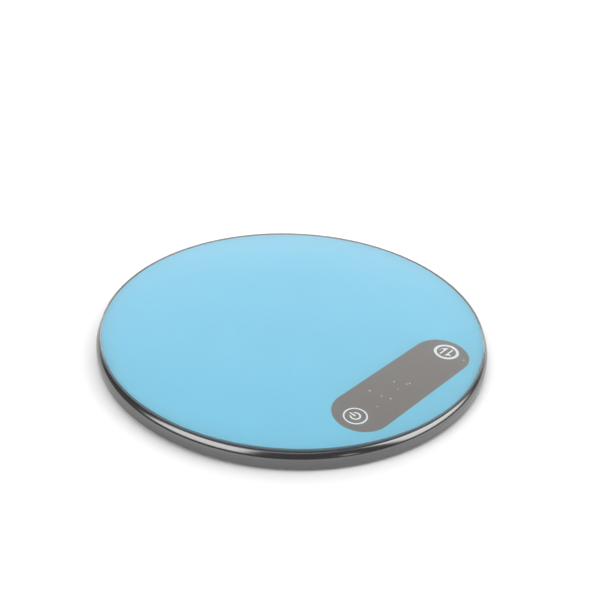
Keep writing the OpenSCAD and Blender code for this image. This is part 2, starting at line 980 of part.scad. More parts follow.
// The corners of a wire's outline, square across the route at one of its points
function wire_ring(route, i) =
  let (ahead = heading(route, i), side = unit(cross([0, 0, 1], ahead)), up = cross(ahead, side))
  [
    for (k = [0 : wire_sides - 1])
      route[i] + wire_d / 2 * (cos(k * wire_step) * side + sin(k * wire_step) * up)
  ];

// A thin wire along a list of points, as one closed tube of triangles
module wire(route) {
  n = wire_sides;
  last = (len(route) - 1) * n;
  points = [for (i = [0 : len(route) - 1]) each wire_ring(route, i)];
  sides = [
    for (i = [0 : len(route) - 2], k = [0 : n - 1])
      let (a = i * n + k, b = i * n + (k + 1) % n)
      each [[a, a + n, b + n], [a, b + n, b]]
  ];
  ends = [for (k = [1 : n - 2]) each [[0, k, k + 1], [last, last + k + 1, last + k]]];
  polyhedron(points = points, faces = concat(sides, ends));
}

// A point in a load cell's own frame, turned and moved to its place
function cell_point(corner, p) =
  let (turn = atan2(corner[1] * foot_y, corner[0] * foot_x))
  [
    corner[0] * foot_x + p[0] * cos(turn) - p[1] * sin(turn),
    corner[1] * foot_y + p[0] * sin(turn) + p[1] * cos(turn),
    p[2]
  ];

function cell_exit(corner) = [
  cell_point(corner, [gauge_x - gauge_size[0] / 2, 0, wire_top]),
  cell_point(corner, [-cell_l / 2 - seat_wall - 1, 0, wire_top]),
  cell_point(corner, [-cell_l / 2 - seat_wall - 5, 0, wire_low])
];

function front_route(corner) = concat(cell_exit(corner), [
  [corner[0] * front_wire_x, board_edge_y + 5, wire_low],
  [corner[0] * front_wire_x, board_edge_y - solder_reach, board_wire_z]
]);

function rear_route(corner) = concat(cell_exit(corner), [
  [corner[0] * (rear_wire_x + 8), coin_y + 2, wire_low],
  [corner[0] * rear_wire_x, board_edge_y + 5, wire_low],
  [corner[0] * rear_wire_x, board_edge_y - solder_reach, board_wire_z]
]);

// The level direction to the left of the way from one point to the next
function left_of(a, b) = [a[1] - b[1], b[0] - a[0]] / norm([b[0] - a[0], b[1] - a[1]]);

// A route moved sideways by a distance, with its corners mitred so that lanes stay apart
function lane(route, shift) = [
  for (i = [0 : len(route) - 1])
    let (
      a = max(i - 1, 0),
      b = min(i, len(route) - 2),
      before = left_of(route[a], route[a + 1]),
      after = left_of(route[b], route[b + 1]),
      mitre = shift * (before + after) / (1 + before * after)
    )
    [route[i][0] + mitre[0], route[i][1] + mitre[1], route[i][2]]
];

module load_cell_wires() {
  color([0.75, 0.15, 0.12]) {
    for (shift = [-wire_pitch, 0, wire_pitch]) {
      wire(lane(front_route(FEET[0]), shift));
      wire(lane(front_route(FEET[1]), shift));
      wire(lane(rear_route(FEET[2]), shift));
      wire(lane(rear_route(FEET[3]), shift));
    }
  }
}

module battery_wires() {
  tab_y = coin_y - bay_w / 2 - tab_l / 2;
  tab_x = bay_l / 2 + tab_l / 2;
  color([0.1, 0.1, 0.1]) {
    wire([
      [0, tab_y, bay_top - contact_t - bond - wire_d / 2],
      [-battery_wire_x, tab_y - 4, wire_low],
      [-battery_wire_x, board_edge_y + 5, wire_low],
      [-battery_wire_x, board_edge_y - solder_reach, board_wire_z]
    ]);
    wire([
      [tab_x, coin_y, tab_z - bond - wire_d / 2],
      [tab_x + 1, coin_y - bay_w / 2, wire_low],
      [battery_wire_x, board_edge_y + 5, wire_low],
      [battery_wire_x, board_edge_y - solder_reach, board_wire_z]
    ]);
  }
}

glass_platform();
blue_print();
window_tint();
power_key_mark();
unit_key_mark();
glass_tape();
upper_shell();
bottom_cover();
cover_screws();
battery_door();
coin_cell();
positive_contact();
negative_contact();
main_board();
board_screws();
controller_chip();
board_parts();
display_frame();
segment_lights();
display_diffuser();
touch_sensor_pads();
load_cell_front_left();
load_cell_front_right();
load_cell_rear_left();
load_cell_rear_right();
strain_gauges();
cell_retainers();
retainer_screws();
foot_cap_front_left();
foot_cap_front_right();
foot_cap_rear_left();
foot_cap_rear_right();
foot_pad_front_left();
foot_pad_front_right();
foot_pad_rear_left();
foot_pad_rear_right();
load_cell_wires();
battery_wires();
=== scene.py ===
"""Looks for the slim round kitchen scale: its visible pieces, finishes, studio light and camera."""

import logging
import math
from dataclasses import dataclass
from enum import Enum
from typing import Callable, Iterable, NamedTuple, Optional, Union

import bmesh
import bpy
from mathutils import Matrix, Vector


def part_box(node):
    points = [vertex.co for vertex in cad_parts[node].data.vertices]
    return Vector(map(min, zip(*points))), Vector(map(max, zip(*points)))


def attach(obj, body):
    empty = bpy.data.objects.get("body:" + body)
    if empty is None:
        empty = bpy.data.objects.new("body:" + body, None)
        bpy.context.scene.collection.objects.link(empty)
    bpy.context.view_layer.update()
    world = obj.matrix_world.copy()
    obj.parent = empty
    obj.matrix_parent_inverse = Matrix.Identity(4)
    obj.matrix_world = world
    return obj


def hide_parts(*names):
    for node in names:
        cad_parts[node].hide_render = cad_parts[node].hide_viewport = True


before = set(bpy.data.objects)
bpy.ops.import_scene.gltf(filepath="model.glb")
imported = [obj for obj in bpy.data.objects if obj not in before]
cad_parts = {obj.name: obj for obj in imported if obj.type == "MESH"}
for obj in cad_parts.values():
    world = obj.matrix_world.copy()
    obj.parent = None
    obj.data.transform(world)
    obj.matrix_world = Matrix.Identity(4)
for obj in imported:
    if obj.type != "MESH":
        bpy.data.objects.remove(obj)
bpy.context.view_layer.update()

log = logging.getLogger("scale")

MM = 0.001
MERGE = 1e-6  # how near two corners lie to be one, in metres
OVERSHOOT = 1.0  # how far a cutting shape reaches past what it cuts, in millimetres

Number = Union[int, float]
Colour = tuple[float, float, float]
Point = tuple[float, float]
Outline = list[Point]
Span = tuple[float, float]  # the values of a pattern that give 0 and 1 of its mask


class Extent(NamedTuple):
    """Where a node of the frame starts and ends, in millimetres."""

    left: float
    front: float
    low: float
    right: float
    rear: float
    high: float


def extent(node: str) -> Extent:
    """Gives where a node of the frame starts and ends, to the nearest micrometre."""
    return Extent(*(round(c / MM, 3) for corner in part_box(node) for c in corner))


# Shader maths


class Sock:
    """A shader socket whose Python arithmetic adds Math nodes to its graph."""

    def __init__(self, graph: "Graph", socket: bpy.types.NodeSocket) -> None:
        """Wraps a socket.

        Args:
            graph: the graph that new nodes go into.
            socket: the output socket that holds the value.
        """
        self.graph = graph
        self.socket = socket

    def _math(self, operation: str, *values: Union["Sock", Number]) -> "Sock":
        """Adds one Math node.

        Args:
            operation: Blender's name of the operation.
            values: its inputs in order.

        Returns:
            The node's result.
        """
        return self.graph.node("ShaderNodeMath", {"operation": operation}, dict(enumerate(values)))

    def __add__(self, other: Union["Sock", Number]) -> "Sock":
        """Adds a value."""
        return self._math("ADD", self, other)

    def __radd__(self, other: Number) -> "Sock":
        """Adds this to a number."""
        return self._math("ADD", other, self)

    def __sub__(self, other: Union["Sock", Number]) -> "Sock":
        """Takes a value away."""
        return self._math("SUBTRACT", self, other)

    def __rsub__(self, other: Number) -> "Sock":
        """Takes this away from a number."""
        return self._math("SUBTRACT", other, self)

    def __mul__(self, other: Union["Sock", Number]) -> "Sock":
        """Multiplies by a value."""
        return self._math("MULTIPLY", self, other)

    def __rmul__(self, other: Number) -> "Sock":
        """Multiplies a number by this."""
        return self._math("MULTIPLY", other, self)

    def __pow__(self, other: Number) -> "Sock":
        """Raises to a power."""
        return self._math("POWER", self, other)

    def angle(self, other: "Sock") -> "Sock":
        """Gives the angle whose tangent is this over another value, in radians."""
        return self._math("ARCTAN2", self, other)

    def rise(self) -> "Sock":
        """Gives the angle whose sine this is, in radians."""
        return self._math("ARCSINE", self)

    def fraction(self) -> "Sock":
        """Keeps the part after the point."""
        return self._math("FRACT", self)

    def size(self) -> "Sock":
        """Drops the sign."""
        return self._math("ABSOLUTE", self)

    def step(self, low: float, high: float) -> "Sock":
        """Rises smoothly from 0 at low to 1 at high, or falls where low is the larger.

        Args:
            low: the value that gives 0.
            high: the value that gives 1.

        Returns:
            The eased mask.
        """
        settings = {"interpolation_type": "SMOOTHSTEP"}
        inputs = {"Value": self, "From Min": min(low, high), "From Max": max(low, high)}
        if low > high:
            inputs |= {"To Min": 1.0, "To Max": 0.0}
        return self.graph.node("ShaderNodeMapRange", settings, inputs)


Value = Union[Sock, Number, Iterable[float]]
Settings = dict[str, object]
Inputs = dict[Union[str, int], Value]


class Graph:
    """The node tree of one material or world."""

    MIX_FACTOR, MIX_FIRST, MIX_SECOND, MIX_RESULT = 0, 6, 7, 2  # a Mix node's colour sockets

    def __init__(self, tree: bpy.types.NodeTree) -> None:
        """Empties a node tree.

        Args:
            tree: the tree to fill.
        """
        self.tree = tree
        tree.nodes.clear()

    def raw(self, kind: str, settings: Settings, inputs: Inputs) -> bpy.types.Node:
        """Adds a node, sets what it is first, then its sockets.

        Args:
            kind: Blender's name of the node's type.
            settings: the node's own properties.
            inputs: values or links, by socket name or number.

        Returns:
            The node.
        """
        made = self.tree.nodes.new(kind)
        for name, setting in settings.items():
            setattr(made, name, setting)
        for key, value in inputs.items():
            if isinstance(value, Sock):
                self.tree.links.new(value.socket, made.inputs[key])
            else:
                made.inputs[key].default_value = value
        return made

    def node(
        self, kind: str, settings: Settings, inputs: Inputs, output: Union[int, str] = 0
    ) -> Sock:
        """Adds a node and gives one of its outputs.

        Args:
            kind: Blender's name of the node's type.
            settings: the node's own properties.
            inputs: values or links, by socket name or number.
            output: which output to give.

        Returns:
            The output.
        """
        return Sock(self, self.raw(kind, settings, inputs).outputs[output])

    def place(self) -> Sock:
        """Gives the point on the piece, in metres."""
        return self.node("ShaderNodeTexCoord", {}, {}, "Object")

    def parts(self, vector: Sock) -> tuple[Sock, Sock, Sock]:
        """Splits a vector.

        Args:
            vector: the vector.

        Returns:
            Its three numbers.
        """
        split = self.raw("ShaderNodeSeparateXYZ", {}, {"Vector": vector})
        return tuple(Sock(self, split.outputs[i]) for i in range(3))

    def vector(self, x: Value, y: Value, z: Value) -> Sock:
        """Joins three numbers into a vector."""
        return self.node("ShaderNodeCombineXYZ", {}, {"X": x, "Y": y, "Z": z})

    def noise(
        self, scale: float, detail: float = 2.0, rough: float = 0.5, at: Optional[Sock] = None
    ) -> Sock:
        """Adds smooth noise.

        Args:
            scale: turns per metre.
            detail: how many finer layers are added.
            rough: how strong the finer layers are.
            at: where it is read, if not at the point on the piece.

        Returns:
            The noise, from 0 to 1.
        """
        inputs = {"Scale": scale, "Detail": detail, "Roughness": rough}
        return self.node("ShaderNodeTexNoise", {}, {"Vector": at or self.place(), **inputs})

    def cells(self, scale: float, feature: str = "F1") -> Sock:
        """Adds a cell pattern and gives the distance in each cell.

        Args:
            scale: cells per metre.
            feature: which distance is measured.

        Returns:
            The distance.
        """
        inputs = {"Vector": self.place(), "Scale": scale}
        return self.node("ShaderNodeTexVoronoi", {"feature": feature}, inputs, "Distance")

    def mix(self, factor: Value, first: Union[Sock, Colour], second: Union[Sock, Colour]) -> Sock:
        """Blends two colours.

        Args:
            factor: 0 for the first colour, 1 for the second.
            first: a colour.
            second: a colour.

        Returns:
            The blend.
        """
        ends = [c if isinstance(c, Sock) else (*c, 1.0) for c in (first, second)]
        inputs = {self.MIX_FACTOR: factor, self.MIX_FIRST: ends[0], self.MIX_SECOND: ends[1]}
        return self.node("ShaderNodeMix", {"data_type": "RGBA"}, inputs, self.MIX_RESULT)

    def bump(self, height: Sock, depth: float) -> Sock:
        """Turns a height into a tilted normal.

        Args:
            height: the height, from 0 to 1.
            depth: what a height of 1 means, in metres.

        Returns:
            The normal.
        """
        inputs = {"Strength": 1.0, "Distance": depth, "Height": height}
        return self.node("ShaderNodeBump", {}, inputs)

    def shader(self, inputs: Inputs) -> Sock:
        """Adds the main surface shader."""
        return self.node("ShaderNodeBsdfPrincipled", {}, inputs)

    def finish(self, surface: Sock, output: str = "ShaderNodeOutputMaterial") -> None:
        """Sends a shader to the output.

        Args:
            surface: the surface's shader, or a world's light.
            output: Blender's name of the output node.
        """
        self.raw(output, {}, {"Surface": surface})


def grey(level: float) -> Colour:
    """Gives a neutral colour."""
    return (level, level, level)


# Finishes, with patterns in turns or cells per metre and bumps in millimetres
# What ends in rough adds to the roughness, gloss takes from it, and cover is a share of the colour

GLASS_IOR = 1.52


@dataclass(frozen=True)
class Finish:
    """One finish. A subclass paints its own graph."""

    name: str

    def paint(self, graph: Graph) -> Sock:
        """Builds the surface.

        Args:
            graph: the material's graph.

        Returns:
            The surface's shader.
        """
        raise NotImplementedError

    def material(self) -> bpy.types.Material:
        """Makes the Blender material, once and under a name that the frame doesn't use.

        Returns:
            The material.
        """
        title = self.name + "_finish"
        made = bpy.data.materials.get(title)
        if made is None:
            made = bpy.data.materials.new(title)
            made.use_nodes = True
            graph = Graph(made.node_tree)
            graph.finish(self.paint(graph))
        return made


@dataclass(frozen=True)
class PolishedGlass(Finish):
    """Clear float glass, faintly green, with a trace of wiping marks."""

    tint: Colour = (0.93, 0.985, 0.975)
    rough: float = 0.012
    wipes: float = 38.0
    wipe_span: Span = (0.52, 0.75)
    wipe_rough: float = 0.035

    def paint(self, graph: Graph) -> Sock:
        """Makes the glass clear and duller where it was wiped.

        Args:
            graph: the material's graph.

        Returns:
            The surface's shader.
        """
        wiped = graph.noise(self.wipes, detail=3.0, rough=0.6).step(*self.wipe_span)
        return graph.shader(
            {
                "Base Color": (*self.tint, 1.0),
                "Roughness": wiped * self.wipe_rough + self.rough,
                "IOR": GLASS_IOR,
                "Transmission Weight": 1.0,
            }
        )


@dataclass(frozen=True)
class GroundGlass(Finish):
    """The glass's ground edge, with painted light near its top and painted shade below."""

    # top and bottom: painted light near the edge's top and painted shade below it
    top: Colour = (0.07, 0.115, 0.14)
    bottom: Colour = (0.018, 0.024, 0.027)
    low: float = 9.3  # the heights between which the painted shade gives way to painted light, in millimetres
    high: float = 10.8
    rough: float = 0.4
    grit: float = 1500.0
    grit_rough: float = 0.2
    depth: float = 0.01

    def paint(self, graph: Graph) -> Sock:
        """Paints shade low on the edge and light near its top, by height, and roughens it with
        grit.

        Args:
            graph: the material's graph.

        Returns:
            The surface's shader.
        """
        height = graph.parts(graph.place())[2]
        grit = graph.noise(self.grit, detail=3.0, rough=0.7)
        return graph.shader(
            {
                "Base Color": graph.mix(
                    height.step(self.low * MM, self.high * MM), self.bottom, self.top
                ),
                "Roughness": grit * self.grit_rough + self.rough,
                "IOR": GLASS_IOR,
                "Normal": graph.bump(grit, self.depth * MM),
            }
        )


@dataclass(frozen=True)
class InkedGlassBack(Finish):
    """The glass's back where ink is bonded to it, which shows nothing of its own."""

    def paint(self, graph: Graph) -> Sock:
        """Lets everything through.

        Args:
            graph: the material's graph.

        Returns:
            The surface's shader.
        """
        return graph.node("ShaderNodeBsdfTransparent", {}, {"Color": (1.0, 1.0, 1.0, 1.0)})


@dataclass(frozen=True)
class Ink(Finish):
    """Ink bonded to glass, with no gloss of its own, faint mottling and specks where asked for."""

    colour: Colour
    pale: Colour
    specked: bool = False
    rough: float = 0.6
    grain: float = 2600.0
    grain_rough: float = 0.1
    mottle: float = 55.0
    mottle_span: Span = (0.3, 0.7)
    speck: Colour = (0.75, 0.73, 0.7)
    specks: float = 260.0
    speck_span: Span = (0.14, 0.09)
    speck_cover: float = 0.9
    patches: float = 150.0
    patch_span: Span = (0.48, 0.52)

    def paint(self, graph: Graph) -> Sock:
        """Mottles the ink and scatters specks over it.

        Args:
            graph: the material's graph.

        Returns:
            The surface's shader.
        """
        mottle = graph.noise(self.mottle, detail=4.0, rough=0.6).step(*self.mottle_span)
        colour = graph.mix(mottle, self.colour, self.pale)
        if self.specked:
            patches = graph.noise(self.patches, detail=1.0).step(*self.patch_span)
            specks = graph.cells(self.specks).step(*self.speck_span) * patches
            colour = graph.mix(specks * self.speck_cover, colour, self.speck)
        grain = graph.noise(self.grain)
        return graph.shader(
            {
                "Base Color": colour,
                "Roughness": grain * self.grain_rough + self.rough,
                "Specular IOR Level": 0.0,
            }
        )


@dataclass(frozen=True)
class GlossMoulding(Finish):
    """Black moulding under a bright lacquer, with a slow flow ripple and a little dust."""

    colour: Colour
    dusty: Colour
    lacquer_ior: float = 2.2
    rough: float = 0.12
    depth: float = 0.02
    flow: float = 26.0
    flow_rough: float = 0.05
    dust: float = 900.0
    dust_span: Span = (0.12, 0.04)
    dust_cover: float = 0.5
    patches: float = 130.0
    patch_span: Span = (0.58, 0.7)
    scuffs: float = 420.0
    scuff_span: Span = (0.6, 0.8)
    scuff_cover: float = 0.12
    scuff_rough: float = 0.1

    def paint(self, graph: Graph) -> Sock:
        """Ripples the lacquer and lays dust and scuffs on it.

        Args:
            graph: the material's graph.

        Returns:
            The surface's shader.
        """
        flow = graph.noise(self.flow)
        patches = graph.noise(self.patches).step(*self.patch_span)
        dust = graph.cells(self.dust).step(*self.dust_span) * patches
        scuff = graph.noise(self.scuffs, detail=3.0, rough=0.7).step(*self.scuff_span)
        cover = dust * self.dust_cover + scuff * self.scuff_cover
        return graph.shader(
            {
                "Base Color": graph.mix(cover, self.colour, self.dusty),
                "Roughness": flow * self.flow_rough + scuff * self.scuff_rough + self.rough,
                "IOR": self.lacquer_ior,
                "Normal": graph.bump(flow, self.depth * MM),
            }
        )


@dataclass(frozen=True)
class GrainedMoulding(Finish):
    """Moulding with an etched grain, such as the underside's."""

    colour: Colour
    pale: Colour
    rough: float = 0.52
    depth: float = 0.03
    grain: float = 2400.0
    grain_rough: float = 0.18
    fine_share: float = 1.7  # how many times finer the second grain is
    fine_height: float = 0.4
    haze: float = 70.0
    haze_span: Span = (0.35, 0.75)
    haze_gloss: float = 0.06

    def paint(self, graph: Graph) -> Sock:
        """Etches the grain and lays a haze over it.

        Args:
            graph: the material's graph.

        Returns:
            The surface's shader.
        """
        pits = graph.cells(self.grain, "SMOOTH_F1")
        haze = graph.noise(self.haze, detail=4.0, rough=0.6)
        height = pits + graph.noise(self.grain * self.fine_share) * self.fine_height
        return graph.shader(
            {
                "Base Color": graph.mix(haze.step(*self.haze_span), self.colour, self.pale),
                "Roughness": self.rough + pits * self.grain_rough - haze * self.haze_gloss,
                "Normal": graph.bump(height, self.depth * MM),
            }
        )


@dataclass(frozen=True)
class SoftRubber(Finish):
    """Dull rubber or foam with fine pores and lint on it."""

    colour: Colour
    pale: Colour
    rough: float = 0.86
    depth: float = 0.04
    pores: float = 3200.0
    pore_span: Span = (0.05, 0.4)
    lint: float = 700.0
    lint_span: Span = (0.58, 0.74)
    lint_cover: float = 0.6
    lint_gloss: float = 0.08

    def paint(self, graph: Graph) -> Sock:
        """Opens the pores and lays lint on them.

        Args:
            graph: the material's graph.

        Returns:
            The surface's shader.
        """
        pores = graph.cells(self.pores).step(*self.pore_span)
        lint = graph.noise(self.lint, detail=4.0, rough=0.75).step(*self.lint_span)
        return graph.shader(
            {
                "Base Color": graph.mix(lint * self.lint_cover, self.colour, self.pale),
                "Roughness": self.rough - lint * self.lint_gloss,
                "Normal": graph.bump(pores, self.depth * MM),
            }
        )


class Lay(Enum):
    """How the fine lines of a metal surface run."""

    ALONG_X = "along x"
    NONE = "none"


@dataclass(frozen=True)
class PlatedMetal(Finish):
    """Bright metal with drawn lines or a plain grain, and slight staining."""

    colour: Colour
    stained: Colour
    lay: Lay = Lay.ALONG_X
    rough: float = 0.23
    depth: float = 0.006
    along: float = 260.0  # how often a drawn line changes along it, and how many lie across
    across: float = 9000.0
    grain: float = 5200.0
    line_rough: float = 0.14
    stains: float = 160.0
    stain_span: Span = (0.45, 0.75)
    stain_cover: float = 0.7
    stain_rough: float = 0.12

    def paint(self, graph: Graph) -> Sock:
        """Draws the lines or the grain and lays stains over them.

        Args:
            graph: the material's graph.

        Returns:
            The surface's shader.
        """
        if self.lay is Lay.ALONG_X:
            x, y, z = graph.parts(graph.place())
            drawn = graph.vector(x * self.along, y * self.across, z * self.across)
            lines = graph.noise(1.0, detail=3.0, rough=0.6, at=drawn)
        else:
            lines = graph.noise(self.grain, detail=3.0, rough=0.6)
        stain = graph.noise(self.stains, detail=4.0, rough=0.65).step(*self.stain_span)
        return graph.shader(
            {
                "Base Color": graph.mix(stain * self.stain_cover, self.colour, self.stained),
                "Metallic": 1.0,
                "Roughness": lines * self.line_rough + stain * self.stain_rough + self.rough,
                "Normal": graph.bump(lines, self.depth * MM),
            }
        )


@dataclass(frozen=True)
class SolderMask(Finish):
    """Green circuit board with copper tracks under its mask and tinned dots."""

    mask: Colour
    track: Colour
    solder: Colour
    rough: float = 0.34
    depth: float = 0.05
    uneven: float = 900.0
    uneven_rough: float = 0.12
    pitch: float = 1.9  # from one track to the next, in millimetres
    track_span: Span = (0.16, 0.12)
    track_height: float = 0.6
    bends: float = 120.0
    bend_pitches: float = 1.6  # how many pitches a track swings
    patches: float = 95.0
    patch_span: Span = (0.46, 0.5)
    dots_per_pitch: float = 0.55
    dot_span: Span = (0.14, 0.11)
    dot_metal: float = 0.9

    def paint(self, graph: Graph) -> Sock:
        """Lays wavy tracks in patches and dots between them.

        Args:
            graph: the material's graph.

        Returns:
            The surface's shader.
        """
        _, y, _ = graph.parts(graph.place())
        per_metre = 1 / (self.pitch * MM)
        place = y * per_metre + graph.noise(self.bends, detail=0.0) * self.bend_pitches
        from_middle = (place.fraction() - 0.5).size()
        patches = graph.noise(self.patches, detail=0.0).step(*self.patch_span)
        tracks = from_middle.step(*self.track_span) * patches
        dots = graph.cells(per_metre * self.dots_per_pitch).step(*self.dot_span)
        colour = graph.mix(tracks, self.mask, self.track)
        return graph.shader(
            {
                "Base Color": graph.mix(dots, colour, self.solder),
                "Metallic": dots * self.dot_metal,
                "Roughness": self.rough + graph.noise(self.uneven) * self.uneven_rough,
                "Normal": graph.bump(tracks * self.track_height + dots, self.depth * MM),
            }
        )


@dataclass(frozen=True)
class MilkyFilm(Finish):
    """Thin translucent film with a fine frost."""

    colour: Colour
    rough: float = 0.6
    depth: float = 0.01
    frost: float = 4200.0
    frost_rough: float = 0.2
    frost_shade: float = 0.9  # how much of the colour is left where it is frosted
    alpha: float = 0.75
    clouds: float = 300.0
    cloud_alpha: float = 0.1

    def paint(self, graph: Graph) -> Sock:
        """Frosts the film and clouds it slightly.

        Args:
            graph: the material's graph.

        Returns:
            The surface's shader.
        """
        frost = graph.noise(self.frost, detail=3.0, rough=0.7)
        frosted = tuple(c * self.frost_shade for c in self.colour)
        return graph.shader(
            {
                "Base Color": graph.mix(frost, self.colour, frosted),
                "Roughness": frost * self.frost_rough + self.rough,
                "Alpha": graph.noise(self.clouds) * self.cloud_alpha + self.alpha,
                "Normal": graph.bump(frost, self.depth * MM),
            }
        )


@dataclass(frozen=True)
class SmoothCoating(Finish):
    """Resin, insulation or ceramic: smooth, slightly uneven and a little mottled."""

    colour: Colour
    pale: Colour
    rough: float = 0.35
    depth: float = 0.02
    wave: float = 900.0
    wave_span: Span = (0.35, 0.7)
    wave_rough: float = 0.16

    def paint(self, graph: Graph) -> Sock:
        """Mottles the coating and makes it uneven.

        Args:
            graph: the material's graph.

        Returns:
            The surface's shader.
        """
        uneven = graph.noise(self.wave, detail=3.0, rough=0.55)
        return graph.shader(
            {
                "Base Color": graph.mix(uneven.step(*self.wave_span), self.colour, self.pale),
                "Roughness": uneven * self.wave_rough + self.rough,
                "Normal": graph.bump(uneven, self.depth * MM),
            }
        )


@dataclass(frozen=True)
class PaleFloor(Finish):
    """The pale floor that the scale stands on, with a painted shadow that greys it close to the
    scale.
    """

    near: float = 0.102  # how far from the middle the painted shadow reaches, in metres
    far: float = 0.165
    painted_shadow_grey: float = 0.7
    far_grey: float = 0.84
    rough: float = 0.6

    def paint(self, graph: Graph) -> Sock:
        """Fades from the painted shadow near the scale to the rest.

        Args:
            graph: the material's graph.

        Returns:
            The surface's shader.
        """
        x, y, _ = graph.parts(graph.place())
        # painted shadow: the floor is greyer close to the scale
        away = ((x * x + y * y) ** 0.5).step(self.near, self.far)
        colour = graph.mix(away, grey(self.painted_shadow_grey), grey(self.far_grey))
        return graph.shader({"Base Color": colour, "Roughness": self.rough})


class Finishes:
    """Every finish of the scale, by the job that it does."""

    glass = PolishedGlass("polished_glass")
    inked_back = InkedGlassBack("inked_glass_back")
    ground = GroundGlass("ground_glass_edge")
    blue = Ink("blue_ink", (0.185, 0.59, 0.785), (0.195, 0.605, 0.8))
    tint = Ink("window_ink", (0.185, 0.155, 0.142), (0.2, 0.17, 0.157), specked=True)
    white = Ink("white_ink", grey(0.9), grey(0.93))
    tape = SoftRubber("foam_tape", (0.62, 0.62, 0.6), (0.7, 0.7, 0.68), pores=5200.0, depth=0.01)
    rim = GlossMoulding("rim_gloss", (0.014, 0.0135, 0.014), grey(0.12))
    cover = GrainedMoulding("cover_grain", (0.022, 0.022, 0.024), (0.034, 0.034, 0.036))
    foot = GrainedMoulding(
        "foot_grain", (0.026, 0.026, 0.028), (0.04, 0.04, 0.042), grain=3000.0, depth=0.02
    )
    rubber = SoftRubber("foot_rubber", (0.032, 0.032, 0.034), grey(0.12))
    screw = PlatedMetal("screw_plating", (0.6, 0.6, 0.62), (0.4, 0.38, 0.36), Lay.NONE, rough=0.21)
    cell_can = PlatedMetal("cell_can", (0.72, 0.72, 0.73), (0.6, 0.58, 0.55), Lay.NONE, rough=0.17)
    contact = PlatedMetal("contact_strip", (0.74, 0.71, 0.63), (0.6, 0.54, 0.42))
    plate = PlatedMetal("load_cell_plate", (0.6, 0.61, 0.62), grey(0.46))
    board = SolderMask("solder_mask", (0.012, 0.13, 0.055), (0.03, 0.22, 0.08), grey(0.7))
    chip = SmoothCoating("chip_resin", grey(0.012), grey(0.02), rough=0.22)
    parts = SmoothCoating(
        "chip_ceramic", (0.42, 0.29, 0.17), (0.55, 0.42, 0.27), rough=0.4, wave=1400.0
    )
    light_frame = GrainedMoulding(
        "light_frame", (0.74, 0.74, 0.72), (0.8, 0.8, 0.78), grain=3600.0, depth=0.01
    )
    lights = SmoothCoating(
        "light_chips", (0.8, 0.66, 0.2), (0.88, 0.78, 0.36), rough=0.2, wave=1800.0
    )
    film = MilkyFilm("diffuser_film", grey(0.72))
    foam = SoftRubber(
        "conductive_foam", (0.035, 0.035, 0.038), grey(0.07), pores=2100.0, depth=0.12
    )
    gauge = SmoothCoating(
        "gauge_glue", (0.68, 0.67, 0.6), (0.78, 0.77, 0.72), rough=0.3, wave=1100.0
    )
    retainer = GrainedMoulding(
        "retainer_grain", (0.6, 0.6, 0.57), (0.68, 0.68, 0.65), grain=3200.0, depth=0.015
    )
    red_wire = SmoothCoating("red_insulation", (0.36, 0.02, 0.015), (0.46, 0.03, 0.02))
    black_wire = SmoothCoating("black_insulation", (0.016, 0.016, 0.017), grey(0.028))


CARRIED: dict[str, Finish] = {
    "blue_print": Finishes.blue,
    "window_tint": Finishes.tint,
    "power_key_mark": Finishes.white,
    "unit_key_mark": Finishes.white,
    "glass_tape": Finishes.tape,
    "coin_cell": Finishes.cell_can,
    "positive_contact": Finishes.contact,
    "negative_contact": Finishes.contact,
    "main_board": Finishes.board,
    "board_screws": Finishes.screw,
    "controller_chip": Finishes.chip,
    "board_parts": Finishes.parts,
    "display_frame": Finishes.light_frame,
    "segment_lights": Finishes.lights,
    "display_diffuser": Finishes.film,
    "touch_sensor_pads": Finishes.foam,
    "load_cell_front_left": Finishes.plate,
    "load_cell_front_right": Finishes.plate,
    "load_cell_rear_left": Finishes.plate,
    "load_cell_rear_right": Finishes.plate,
    "strain_gauges": Finishes.gauge,
    "cell_retainers": Finishes.retainer,
    "retainer_screws": Finishes.screw,
    "load_cell_wires": Finishes.red_wire,
    "battery_wires": Finishes.black_wire,
}


def dress_carried_nodes() -> None:
    """Gives every node that comes over from the frame its finish."""
    for name, finish in CARRIED.items():
        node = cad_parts[name]
        node.data.materials.clear()
        node.data.materials.append(finish.material())


# Modelling, in millimetres

EdgeTest = Callable[[bmesh.types.BMEdge], bool]


class Meeting(Enum):
    """What one shape does to another, by Blender's names."""

    CUT = "DIFFERENCE"
    ADD = "UNION"
    KEEP_SHARED = "INTERSECT"


def start_clean() -> None:
    """Leaves object mode with nothing selected."""
    if bpy.context.object and bpy.context.object.mode != "OBJECT":
        bpy.ops.object.mode_set(mode="OBJECT")
    bpy.ops.object.select_all(action="DESELECT")


def pick(piece: bpy.types.Object) -> None:
    """Selects one piece alone and makes it active.

    Args:
        piece: the piece.
    """
    start_clean()
    piece.select_set(True)
    bpy.context.view_layer.objects.active = piece


def choose_edges(piece: bpy.types.Object, wanted: EdgeTest) -> None:
    """Goes into edit mode with the wanted edges selected.

    Args:
        piece: the piece.
        wanted: says whether an edge is wanted.
    """
    pick(piece)
    bpy.ops.object.mode_set(mode="EDIT")
    bpy.ops.mesh.select_mode(type="EDGE")
    bpy.ops.mesh.select_all(action="DESELECT")
    mesh = bmesh.from_edit_mesh(piece.data)
    for edge in mesh.edges:
        if wanted(edge):
            edge.select_set(True)
    mesh.select_flush_mode()
    bmesh.update_edit_mesh(piece.data)


def choose_all(piece: bpy.types.Object) -> None:
    """Goes into edit mode with the whole piece selected.

    Args:
        piece: the piece.
    """
    pick(piece)
    bpy.ops.object.mode_set(mode="EDIT")
    bpy.ops.mesh.select_mode(type="VERT")
    bpy.ops.mesh.select_all(action="SELECT")


def done_editing() -> None:
    """Goes back to object mode."""
    bpy.ops.object.mode_set(mode="OBJECT")


